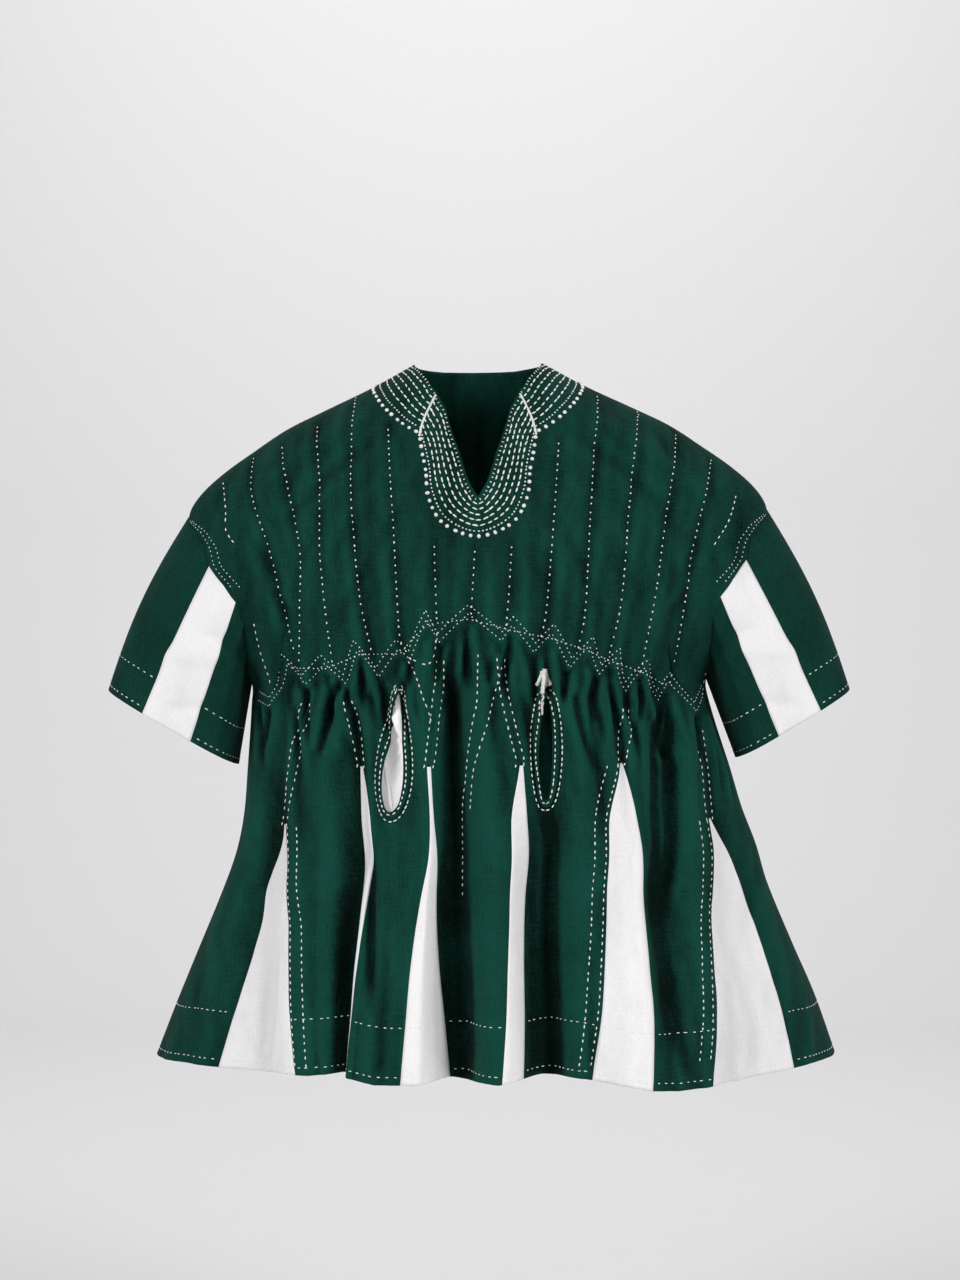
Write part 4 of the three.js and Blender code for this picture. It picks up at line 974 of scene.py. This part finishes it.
def skirt_net(side, left, right, columns, top_height):
    """Bearings and heights of a skirt panel: level rows between its edges, the last one on the hem line."""
    levels = np.linspace(top_height, HEM, int((top_height - HEM) / cell_size(side)) + 1)
    height = np.repeat(levels[:, None], len(columns), 1)
    bearing = left(height) + (right(height) - left(height)) * columns
    settle_top = top_height - HEM_SETTLE
    settle = smooth((settle_top - height) / (settle_top - HEM))
    return bearing, height + (hem_height(side, bearing) - HEM) * settle


def slit_reach(slit, grow, part):
    """Half the width of a slit at a part of its length: a skewed sine, and a blunter one for the growth."""
    part = np.clip(part, 0, 1)
    half = slit["width"] / 2 * np.sin(np.pi * part ** slit["skew"]).clip(0) ** slit["round"]
    return half + grow * np.sin(np.pi * part).clip(0) ** WELT_ROUNDING


def slit_mask(slit, bearing, level, grow):
    """True where a place lies in a pocket slit grown by `grow`."""
    x = ring("centre", level) + ring("half_width", level) * np.sin(np.radians(bearing))
    height = level + LEAN * x
    top, bottom = slit["top"], slit["bottom"]
    part = (height - top[1] - grow) / (bottom[1] - top[1] - 2 * grow)
    middle = top[0] + (bottom[0] - top[0]) * part
    return (part > 0) & (part < 1) & (np.abs(x - middle) < slit_reach(slit, grow, part))


def add_green_panel(side, number):
    """A green skirt panel: rows ease from the zigzag seam to a level one, then run level to the hem."""
    left, right = panel_edges(side, number)
    top_left, top_right = (float(edge(np.array(0.0))) for edge in (left, right))
    cell = cell_size(side)
    widest = np.degrees(cell * GATHERED_SHARE / YOKE_REACH)
    places = spread(top_left, top_right, ZIGZAG[side]["bearing"], widest)
    share = (places - top_left) / (top_right - top_left)
    first_height = np.full(len(places), SKIRT_TOP + JUST_ABOVE)
    first = left(first_height) + (right(first_height) - left(first_height)) * share
    top_height = straight(ZIGZAG[side], "bearing", places, "height")
    steps = int((top_height.max() - SKIRT_TOP) / cell)
    part = np.linspace(0, 1, steps, endpoint=False)[:, None]
    lower_bearing, lower_height = skirt_net(side, left, right, share, SKIRT_TOP)
    bearing = np.concatenate([places + (first - places) * part, lower_bearing])
    height = np.concatenate([top_height + (SKIRT_TOP - top_height) * part, lower_height])
    keep = None
    for slit in SLITS.values():
        if side == FRONT and slit["panel"] == number + 1:
            middle = [(net[:-1, :-1] + net[1:, 1:]) / 2 for net in (bearing, height)]
            keep = ~slit_mask(slit, *middle, SLIT_CUT)
    node = f"skirt_{SIDES[side]}_green_{number + 1}"
    piece = body_cloth(node, side, bearing, height, "green", keep=keep, held="gathered")
    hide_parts(node)


def add_white_gore(side, number):
    """A white gore, from its apex to the hem."""
    gore = gore_sizes(side, number)
    width = gore["hem_right"] - gore["hem_left"]
    count = max(LEAST_COLUMNS, int(np.ceil(width / np.degrees(cell_size(side) / HEM_REACH))))
    columns = np.linspace(0, 1, count + 1)
    bearing, height = skirt_net(side, *gore_edges(side, number), columns, gore["apex_height"])
    node = f"skirt_{SIDES[side]}_white_{number + 1}"
    piece = body_cloth(node, side, bearing, height, "white")
    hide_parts(node)


def add_sleeve(arm):
    """The four strips of a sleeve, each from the armhole seam to the cuff."""
    cell = cell_size(FRONT)
    lengthways = np.linspace(0, 1, int(SLEEVE_LENGTH / cell) + 1)
    girth_step = SLEEVE_GIRTH / (2 * len(SLEEVE_COLUMNS["cuff"]) - 2)
    for strip, (first, last, slot) in STRIPS.items():
        columns = spread(first, last, range(first, last), cell / SLEEVE_COLUMN)
        column, along = np.meshgrid(columns, lengthways)
        uv = np.stack([column * girth_step, -along * SLEEVE_LENGTH], -1)
        node = f"sleeve_{ARMS[arm]}_{strip}"
        piece = cloth_piece(node + "_cloth", sleeve(arm, column, along), uv, slot, (arm * SLEEVE_MIDDLE, 0))
        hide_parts(node)


def front_surface(x, height, lift):
    """Points on the front of the body at given x and height, lifted off the cloth by `lift`."""
    bearing, level = from_front(x, height)
    surface = partial(body, FRONT)
    return surface(bearing, level) + lift_direction(surface, bearing, level, FRONT) * lift[..., None]


def lift_direction(surface, u, v, turn, steps=BODY_STEPS):
    """Unit normal of a surface from two differences across each place, turned to point out of the garment."""
    across = surface(u + steps[0], v) - surface(u - steps[0], v)
    down = surface(u, v + steps[1]) - surface(u, v - steps[1])
    normal = np.cross(across, down)
    return normal / np.linalg.norm(normal, axis=-1, keepdims=True) * -turn


def slit_loop(slit, grow, around):
    """x and height once round a slit's outline, grown by `grow`: down its right side and up its left."""
    down = np.where(around < 0.5, 2 * around, 2 - 2 * around)
    part = (1 - np.cos(np.pi * down)) / 2
    hand = np.where(around < 0.5, RIGHT, LEFT)
    top, bottom = slit["top"], slit["bottom"]
    height = top[1] + grow + (bottom[1] - top[1] - 2 * grow) * part
    return top[0] + (bottom[0] - top[0]) * part + hand * slit_reach(slit, grow, part), height


def add_welt(label):
    """The rim round a pocket slit: a ring of cloth on the panel, its section a squared ellipse."""
    along, turn = np.arange(WELT_STEPS) / WELT_STEPS, np.arange(WELT_SIDES) * 2 * np.pi / WELT_SIDES
    around, section = np.meshgrid(along, turn, indexing="ij")
    grow = WELT_OUT + WELT_HALF_WIDTH * np.cos(section)
    lift = WELT_UP + WELT_HALF_HEIGHT * np.sign(np.sin(section)) * np.abs(np.sin(section)) ** WELT_SQUARE
    points = front_surface(*slit_loop(SLITS[label], grow, around), lift).reshape(-1, 3)
    index = np.arange(around.size).reshape(around.shape)
    onward = np.roll(index, -1, 0)
    faces = np.stack([index, onward, np.roll(onward, -1, 1), np.roll(index, -1, 1)], -1).reshape(-1, 4)
    faces = outward_faces(points, faces)
    uv = np.stack([around * WELT_CUT, grow], -1).reshape(-1, 2) * MM
    material = bpy.data.materials["green_cotton"]
    piece = mesh_object(f"pocket_{label}_rim", points, faces, material, uv)
    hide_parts(f"pocket_{label}_welt")


def outward_faces(points, faces):
    """The same faces, turned so that they enclose a positive volume."""
    a, b, c, d = (points[faces[:, k]] for k in range(4))
    volume = np.sum(a * np.cross(b, c)) + np.sum(a * np.cross(c, d))
    return faces if volume > 0 else faces[:, ::-1]


def add_bag():
    """The pocket bag behind the left slit: a shallow dish with puckers, whose rim lies against the panel."""
    slit = SLITS["left"]
    (top_x, top_z), (bottom_x, bottom_z) = slit["top"], slit["bottom"]
    half_width = slit["width"] / 2 + BAG_MARGIN
    shares = np.linspace(0, 1, BAG_ROWS), np.linspace(0, 1, BAG_COLUMNS)
    down, across = np.meshgrid(*shares, indexing="ij")
    height = top_z + BAG_TOP + (bottom_z - BAG_MARGIN - top_z - BAG_TOP) * down
    x = top_x + (bottom_x - top_x) * down + half_width * (2 * across - 1)
    dish = np.sqrt(np.clip(np.sin(np.pi * across) * np.sin(np.pi * down), 0, None))
    puckers = BAG_PUCKER * np.sin(PUCKERS_ACROSS * across + PUCKERS_DOWN * down)
    net = front_surface(x, height, -(BAG_LIFT + (BAG_DEPTH + puckers) * dish))
    piece = cloth_piece("pocket_left_bag_cloth", net, np.stack([x, height], -1), "white", cloth="lining")
    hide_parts("pocket_left_bag")


def bead(rings=3, sides=6):
    """A low rounded bead, one unit long, wide and high: an ellipse at each level, closed at both ends."""
    turns = np.arange(sides) * 2 * np.pi / sides
    level, turn = np.meshgrid(np.linspace(0, BEAD_TOP, rings), turns, indexing="ij")
    reach = 0.5 * np.sqrt(1 - level**2)
    points = np.stack([reach * np.cos(turn), reach * np.sin(turn), level - BEAD_SUNK], -1).reshape(-1, 3)
    points = np.vstack([points, (0, 0, 1 - BEAD_SUNK), (0, 0, -BEAD_SUNK)])
    index = np.arange(rings * sides).reshape(rings, sides)
    over = np.roll(index, -1, 1)
    walls = np.stack([index[:-1], over[:-1], over[1:], index[1:]], -1).reshape(-1, 4)
    caps = ((index[-1], over[-1], rings * sides), (over[0], index[0], rings * sides + 1))
    ends = [np.stack([a, b, np.full(sides, tip)], -1) for a, b, tip in caps]
    return points, np.concatenate([walls[:, [0, 1, 2]], walls[:, [0, 2, 3]], *ends])


class StitchBook:
    """Collects rows of stitches on a surface of two parameters and makes one object of them."""

    def __init__(self, surface, turn, steps=BODY_STEPS):
        self.surface, self.turn, self.steps = surface, turn, steps
        self.rows = []
        self.random = np.random.default_rng(SEED)

    def row(self, u, v, thread, straight_row=False, lift=0.0):
        """Stitches along a line of places (u, v), spaced along its length on the cloth with some chance."""
        pitch, *size = THREADS[thread]
        knots = np.arange(len(u), dtype=float)
        fine = np.linspace(0, len(u) - 1, CURVE_STEPS * (len(u) - 1) + 1)
        between = np.interp if straight_row else lambda at, k, values: curve(k, values, at)
        u, v = between(fine, knots, u), between(fine, knots, v)
        steps = np.linalg.norm(np.diff(self.surface(u, v), axis=0), axis=-1)
        travelled = np.concatenate([[0], np.cumsum(steps)])
        count = int(travelled[-1] / pitch)
        if count == 0:
            return
        uneven = bpy.context.scene.smock.unevenness
        chance = lambda share, shape: self.random.normal(0, uneven * share, shape)
        shift = chance(PLACE_SHARE, count).clip(-LARGEST_CHANGE, LARGEST_CHANGE)
        at = (np.arange(count) + 0.5 + shift) * travelled[-1] / count
        sizes = np.array(size) * (1 + chance(SIZE_SHARE, (count, 3)).clip(-LARGEST_CHANGE, LARGEST_CHANGE))
        tilt = chance(TURN_SHARE, count)
        places = []
        for reach in (0, AHEAD, -AHEAD):
            along = np.clip(at + reach, 0, travelled[-1])
            places += [np.interp(along, travelled, u), np.interp(along, travelled, v)]
        self.rows.append((*places, sizes, tilt, np.full(count, THREAD_LIFT + lift)))

    def line(self, points, thread):
        """Stitches along a smooth line through points given by their x and height."""
        knots = np.arange(len(points), dtype=float)
        fine = np.linspace(0, len(points) - 1, LINE_STEPS * (len(points) - 1) + 1)
        x, height = (curve(knots, column, fine) for column in zip(*points))
        self.row(*from_front(x, height), thread, straight_row=True)

    def build(self, name):
        """One object with every stitch: a bead stretched along the thread and laid on the cloth."""
        u, v, u1, v1, u2, v2, sizes, tilt, lift = (np.concatenate(column) for column in zip(*self.rows))
        centre = self.surface(u, v)
        along = self.surface(u1, v1) - self.surface(u2, v2)
        up = lift_direction(self.surface, u, v, self.turn, self.steps)
        along = along - np.sum(along * up, -1, keepdims=True) * up
        along = along / np.linalg.norm(along, axis=-1, keepdims=True)
        across = np.cross(up, along)
        turned = along * np.cos(tilt)[:, None] + across * np.sin(tilt)[:, None]
        across = np.cross(up, turned)
        points, triangles = bead()
        scaled = points[None] * sizes[:, None]
        placed = sum(scaled[..., k, None] * axis[:, None] for k, axis in enumerate((turned, across, up)))
        placed = placed + (centre + up * lift[:, None])[:, None]
        faces = triangles[None] + (np.arange(len(centre)) * len(points))[:, None, None]
        thread = bpy.data.materials["white_thread"]
        return mesh_object(name, placed.reshape(-1, 3), faces.reshape(-1, 3), thread)


def ruled(zone, fraction, mirror=1):
    """A row of places at a fraction of the straight way from a zone's inner curve to its outer one."""
    inner, outer = zone
    bearing = inner["bearing"] + (outer["bearing"] - inner["bearing"]) * fraction
    height = inner["height"] + (outer["height"] - inner["height"]) * fraction
    return mirror * bearing, height


def both_hands(zone):
    """A zone that ends on the centre line, carried on as its own mirror image."""
    mirrored = {"bearing": -1, "height": 1}
    return [
        {name: np.concatenate([rows[name], sign * rows[name][-2::-1]]) for name, sign in mirrored.items()}
        for rows in zone
    ]


def neck_stitches(book, side):
    """Rows round the neck and down the slit, dots and knots round them, and the bars between the zones."""
    hands = (LEFT, RIGHT) if side == FRONT else (RIGHT,)
    zones = [(COLLAR[side], -hand) for hand in hands]
    if side == FRONT:
        zones.append((both_hands(SLIT_ZONE), 1))
    for zone, mirror in zones:
        for fraction, thread in NECK_ROWS:
            book.row(*ruled(zone, fraction, mirror), thread)
    if side == FRONT:
        for hand in hands:
            book.row(-hand * NECK_BAR["bearing"], NECK_BAR["height"], "bar")


def edge_places(side, number, edge, offset, heights):
    """Places beside a gore's edge, `offset` mm to its right."""
    bearing = gore_edge(side, number, edge, heights)
    return bearing + degrees_for(offset, bearing, heights), heights


def zigzag_stitches(book, side):
    """A double row along the zigzag seam, and one from each of its high points to the next."""
    bearing, height = (column[1:-1] for column in ZIGZAG[side].values())
    for rise in ZIGZAG_ROWS:
        book.row(bearing, height + rise, "small_dot", straight_row=True)
    middle = height[1:-1]
    high = np.flatnonzero((middle > height[:-2]) & (middle > height[2:])) + 1
    book.row(bearing[high], height[high] + HIGH_POINT_ROW, "small_dot", straight_row=True)


def gore_stitches(book, side):
    """Rows on both sides of the seams above the gores' apexes, and double rows beside some of their edges."""
    gores = GORES[side]
    for number, (seam, apex_height) in enumerate(zip(gores["seam"], gores["apex_height"])):
        top = float(straight(ZIGZAG[side], "bearing", seam, "height"))
        heights = np.linspace(top - SEAM_ROW_TOP, apex_height - SEAM_ROW_FOOT, SHORT_ROW)
        for offset in SEAM_OFFSETS:
            book.row(*edge_places(side, number, 0, offset, heights), "dash")
    for number, edge in EDGE_ROWS[side]:
        heights = np.linspace(gores["apex_height"][number], HEM + EDGE_ROW_FOOT, EDGE_ROW)
        for offset in EDGE_OFFSETS:
            book.row(*edge_places(side, number, edge, offset if edge else -offset, heights), "dash")


def hem_stitches(book, side):
    """Two rows along the hem of each green panel and each gore."""
    gores = len(GORES[side]["seam"])
    edges = [panel_edges(side, number) for number in range(gores + 1)]
    edges += [gore_edges(side, number) for number in range(gores)]
    share = np.linspace(*HEM_ROW_SPAN, LEVEL_ROW)
    for left, right in edges:
        for rise in HEM_ROWS:
            level = np.full(LEVEL_ROW, HEM + rise, float)
            bearing = left(level) + (right(level) - left(level)) * share
            book.row(bearing, hem_height(side, bearing) + rise, "hem")


def body_stitches(book, side):
    """Lines down the yoke and skirt, rows by the armholes, and those of the seam, the gores and the hem."""
    for lines, thread in ((YOKE_LINES, "dot"), (OTHER_LINES, "dash")):
        for line in lines[side]:
            book.line(line, thread)
    zigzag_stitches(book, side)
    heights = np.linspace(*ARMHOLE_ROW_SPAN, SHORT_ROW)
    bearing = straight(ARMHOLE, "height", heights, "bearing")
    for hand in (LEFT, RIGHT):
        for inset in ARMHOLE_ROWS:
            book.row(hand * (bearing - np.degrees(inset / ARMHOLE_ROW_RADIUS)), heights, "small_dot")
    gore_stitches(book, side)
    hem_stitches(book, side)


def sleeve_stitches(book, arm):
    """Two rows above the cuff on the green strips."""
    for first, last, slot in STRIPS.values():
        if slot == "green":
            column = np.linspace(first + CUFF_ROW_INSET, last - CUFF_ROW_INSET, LEVEL_ROW)
            length = np.linalg.norm(sleeve(arm, column, 1) - sleeve(arm, column, 0), axis=-1)
            for rise in CUFF_ROWS:
                book.row(column, 1 - rise / length, "hem")


def pocket_stitches(book):
    """A loop round each slit's rim, a second one outside it, and the bars at the top of the slits."""
    around = np.linspace(*SLIT_ROW_SPAN, LOOP_ROW)
    for slit in SLITS.values():
        for grow, lift in SLIT_ROWS:
            book.row(*from_front(*slit_loop(slit, grow, around)), "pocket", straight_row=True, lift=lift)
    for ends in BAR_TACKS:
        book.line(ends, "satin")


class Maths:
    """A value in a node tree, so that a formula of nodes reads as a formula."""

    def __init__(self, tree, socket):
        self.tree, self.socket = tree, socket

    def node(self, kind, output=0, inputs=(), **settings):
        """Any node: its settings by name, its inputs by name or number, and the output that is used."""
        made = self.tree.nodes.new(kind)
        for name, value in settings.items():
            setattr(made, name, value)
        for key, value in dict(inputs).items():
            if isinstance(value, Maths):
                self.tree.links.new(value.socket, made.inputs[key])
            else:
                made.inputs[key].default_value = value
        return Maths(self.tree, made.outputs[output])

    def calculate(self, operation, *values):
        """What a Math node makes of values or numbers."""
        return self.node("ShaderNodeMath", inputs=dict(enumerate(values)), operation=operation)

    def __add__(self, other):
        return self.calculate("ADD", self, other)

    def __sub__(self, other):
        return self.calculate("SUBTRACT", self, other)

    def __rsub__(self, other):
        return self.calculate("SUBTRACT", other, self)

    def __mul__(self, other):
        return self.calculate("MULTIPLY", self, other)

    __radd__ = __add__
    __rmul__ = __mul__

    def wave(self, period):
        """A sine of this value with a given period, from 0 to 1."""
        return self.calculate("SINE", self * (2 * np.pi / period)) * 0.5 + 0.5

    def clamped(self):
        """This value, held between 0 and 1."""
        return self.node("ShaderNodeClamp", inputs={"Value": self})

    def mixed(self, first, second):
        """A colour between two, by this value."""
        inputs = {0: self, 6: (*first, 1.0), 7: (*second, 1.0)}
        return self.node("ShaderNodeMix", output=2, inputs=inputs, data_type="RGBA")

    def noise(self, place, scale, detail):
        """Soft noise from 0 to 1 at a place."""
        return self.node("ShaderNodeTexNoise", inputs={"Vector": place, "Scale": scale, "Detail": detail})

    def bump(self, height, strength, distance):
        """The normal of a surface with this height."""
        inputs = {"Height": height, "Strength": strength, "Distance": distance}
        return self.node("ShaderNodeBump", inputs=inputs)

    def into(self, shader, name):
        """Link this value to a shader's input."""
        self.tree.links.new(self.socket, shader.inputs[name])


def new_material(name, colour, roughness, sheen):
    """A plain material of dry, dull fibres: its shader, and a start for its node maths."""
    material = bpy.data.materials.new(name)
    material.use_nodes = True
    shader = material.node_tree.nodes["Principled BSDF"]
    values = {
        "Base Color": (*colour, 1.0), "Roughness": roughness, "Specular IOR Level": DULL_SPECULAR,
        "Sheen Weight": sheen, "Sheen Roughness": SHEEN_ROUGHNESS,
    }
    for socket, value in values.items():
        shader.inputs[socket].default_value = value
    return shader, Maths(material.node_tree, None)


def cotton(name):
    """Plain-weave cotton: two crossed sets of yarns as bumps, uneven yarns as streaks, and soft patches;
    painted shade darkens the valleys and the ridges are paler, partly worn and partly painted highlight.
    """
    setting, sheen, bump_depth, light, dark = COTTONS[name]
    colour = np.array(getattr(bpy.context.scene.smock, setting))
    shader, start = new_material(name, colour, COTTON_ROUGHNESS, sheen)
    uv = {"Vector": start.node("ShaderNodeUVMap", uv_map="cloth")}
    u, v = (start.node("ShaderNodeSeparateXYZ", output=axis, inputs=uv) for axis in (0, 1))
    noises = {}
    for kind, (across, down, detail) in NOISES.items():
        place = start.node("ShaderNodeCombineXYZ", inputs={0: u * across, 1: v * down})
        noises[kind] = start.noise(place, 1.0, detail)
    # Painted shade in the valleys and paler ridges, partly wear and partly painted highlight, then uneven
    # yarns and patches.
    ridges = start.node("ShaderNodeAttribute", output=2, attribute_name="ridges")
    tone = ridges * FADE_AND_SHADE_TONE + 0.5
    for kind, share in TONE_SHARES.items():
        tone = tone + (noises[kind] - 0.5) * share
    tone.clamped().mixed(colour * dark, colour * light).into(shader, "Base Color")
    warp, weft = u.wave(YARN_ACROSS), v.wave(YARN_DOWN)
    height = (warp * weft + (1 - warp) * (1 - weft)) * YARN_BUMP
    for kind, share in BUMP_SHARES.items():
        height = height + noises[kind] * share
    start.bump(height, COTTON_BUMP, bump_depth).into(shader, "Normal")
    return shader


def add_materials():
    """The two cottons, the thin cotton of the pocket bag, which glows with painted light, and the thread."""
    settings = bpy.context.scene.smock
    thin = {name: cotton(name) for name in COTTONS}["lining_cotton"]
    # Painted light: the lining glows, so that the bag looks white in the shade of the slit.
    thin.inputs["Emission Color"].default_value = (*settings.white, 1.0)
    thin.inputs["Emission Strength"].default_value = LINING_PAINTED_LIGHT
    thread, start = new_material("white_thread", settings.thread, THREAD_ROUGHNESS, 0.0)
    twist = start.noise(start.node("ShaderNodeTexCoord", output="Object"), TWIST_SCALE, 1.0)
    start.bump(twist, THREAD_BUMP, TWIST_DEPTH).into(thread, "Normal")


def add_light(name, place, aim, size, power):
    """A square soft light that faces a point."""
    light = bpy.data.lights.new(name, "AREA")
    light.shape, light.size, light.energy = "SQUARE", size, power
    lamp = bpy.data.objects.new(name, light)
    bpy.context.scene.collection.objects.link(lamp)
    lamp.location = place
    lamp.rotation_euler = (Vector(aim) - Vector(place)).to_track_quat("-Z", "Y").to_euler()
    return lamp


def add_backdrop(settings):
    """A sheet of pale paper: a level floor, a quarter circle and an upright wall, ruled from side to side."""
    turn = np.linspace(0, np.pi / 2, settings.columns)
    floor = settings.floor_height
    bend_y = PAPER_WALL - PAPER_BEND + PAPER_BEND * np.sin(turn)
    bend_z = floor + PAPER_BEND - PAPER_BEND * np.cos(turn)
    y = np.concatenate([[PAPER_NEAR], bend_y, [PAPER_WALL]])
    z = np.concatenate([[floor], bend_z, [floor + PAPER_TOP]])
    x, y, z = np.broadcast_arrays(np.array([[-PAPER_HALF_WIDTH], [PAPER_HALF_WIDTH]]), y, z)
    mesh = bpy.data.meshes.new("backdrop")
    mesh.from_pydata(np.stack([x, y, z], -1).reshape(-1, 3).tolist(), [], net_faces(*x.shape).tolist())
    mesh.polygons.foreach_set("use_smooth", np.ones(len(mesh.polygons), bool))
    paper = bpy.data.materials.new("pale_paper")
    paper.use_nodes = True
    shader = paper.node_tree.nodes["Principled BSDF"]
    shader.inputs["Base Color"].default_value = (*settings.paper_colour, 1.0)
    shader.inputs["Roughness"].default_value = PAPER_ROUGHNESS
    mesh.materials.append(paper)
    backdrop = bpy.data.objects.new("backdrop", mesh)
    bpy.context.scene.collection.objects.link(backdrop)
    return backdrop


def add_camera(settings):
    """A level camera in front of the smock."""
    camera = bpy.data.objects.new("camera", bpy.data.cameras.new("camera"))
    camera.data.lens = settings.focal
    camera.data.sensor_width = SENSOR_WIDTH
    camera.data.clip_end = CAMERA_REACH
    camera.location = (CAMERA_X, -settings.camera_distance, settings.camera_height)
    camera.rotation_euler = (np.pi / 2, 0, 0)
    bpy.context.scene.collection.objects.link(camera)
    bpy.context.scene.camera = camera
    return camera


def add_room(settings):
    """Soft light from all round."""
    world = bpy.data.worlds.new("soft_room")
    world.use_nodes = True
    background = world.node_tree.nodes["Background"]
    background.inputs["Color"].default_value = ROOM_COLOUR
    background.inputs["Strength"].default_value = settings.ambient
    bpy.context.scene.world = world


class SMOCK_OT_materials(bpy.types.Operator):
    """Make the cottons and the thread"""

    bl_idname = "smock.materials"
    bl_label = "Cloth and thread"

    def execute(self, context):
        add_materials()
        return {"FINISHED"}


class SMOCK_OT_yokes(bpy.types.Operator):
    """Make the front and back yoke"""

    bl_idname = "smock.yokes"
    bl_label = "Yokes"

    def execute(self, context):
        add_yoke(FRONT)
        add_yoke(BACK)
        return {"FINISHED"}


class SMOCK_OT_sleeves(bpy.types.Operator):
    """Make the strips of both sleeves"""

    bl_idname = "smock.sleeves"
    bl_label = "Sleeves"

    def execute(self, context):
        add_sleeve(LEFT)
        add_sleeve(RIGHT)
        return {"FINISHED"}


class SMOCK_OT_skirt(bpy.types.Operator):
    """Make the green panels and the white gores of the skirt"""

    bl_idname = "smock.skirt"
    bl_label = "Skirt"

    def execute(self, context):
        for side in (FRONT, BACK):
            gores = len(GORES[side]["seam"])
            for number in range(gores + 1):
                add_green_panel(side, number)
            for number in range(gores):
                add_white_gore(side, number)
        return {"FINISHED"}


class SMOCK_OT_pockets(bpy.types.Operator):
    """Make the rims of both pocket slits and the bag that shows"""

    bl_idname = "smock.pockets"
    bl_label = "Pockets"

    def execute(self, context):
        for label in SLITS:
            add_welt(label)
        add_bag()
        return {"FINISHED"}


class SMOCK_OT_stitches(bpy.types.Operator):
    """Sew every row of white stitches"""

    bl_idname = "smock.stitches"
    bl_label = "Stitches"

    def execute(self, context):
        for side, label in SIDES.items():
            neck, rows = (StitchBook(partial(body, side), side) for _ in range(2))
            neck_stitches(neck, side)
            neck.build(f"neck_embroidery_{label}")
            body_stitches(rows, side)
            rows.build(f"stitch_rows_{label}")
        for arm, label in ARMS.items():
            rows = StitchBook(partial(sleeve, arm), -arm, SLEEVE_STEPS)
            sleeve_stitches(rows, arm)
            rows.build(f"stitch_rows_sleeve_{label}")
        rim = StitchBook(partial(body, FRONT), FRONT)
        pocket_stitches(rim)
        rim.build("stitch_rows_pockets")
        return {"FINISHED"}


class SMOCK_OT_stage(bpy.types.Operator):
    """Add the pale floor and backdrop, the soft lights and the camera"""

    bl_idname = "smock.stage"
    bl_label = "Stage"

    def execute(self, context):
        settings = context.scene.smock_stage
        lights = [
            add_light(name, place, aim, size, getattr(settings, power))
            for name, (place, aim, size, power) in LIGHTS.items()
        ]
        add_room(settings)
        context.scene.view_settings.view_transform = "Standard"
        add_backdrop(settings)
        add_camera(settings)
        return {"FINISHED"}


OPERATORS = (
    SMOCK_OT_materials, SMOCK_OT_yokes, SMOCK_OT_sleeves, SMOCK_OT_skirt, SMOCK_OT_pockets,
    SMOCK_OT_stitches, SMOCK_OT_stage,
)


class SMOCK_PT_panel(bpy.types.Panel):
    """Lists the steps that build the smock"""

    bl_idname = "SMOCK_PT_panel"
    bl_label = "Smock"
    bl_space_type = "VIEW_3D"
    bl_region_type = "UI"
    bl_category = "Smock"

    def draw(self, context):
        for operator in OPERATORS:
            self.layout.operator(operator.bl_idname)
        for group in (context.scene.smock, context.scene.smock_stage):
            for name in group.__annotations__:
                self.layout.prop(group, name)


CLASSES = (SmockSettings, StageSettings, *OPERATORS, SMOCK_PT_panel)


def register():
    for entry in CLASSES:
        bpy.utils.register_class(entry)
    bpy.types.Scene.smock = PointerProperty(type=SmockSettings)
    bpy.types.Scene.smock_stage = PointerProperty(type=StageSettings)


def unregister():
    del bpy.types.Scene.smock_stage
    del bpy.types.Scene.smock
    for entry in reversed(CLASSES):
        bpy.utils.unregister_class(entry)


def main():
    register()
    for operator in OPERATORS:
        group, name = operator.bl_idname.split(".")
        getattr(getattr(bpy.ops, group), name)()


if __name__ == "__main__":
    main()
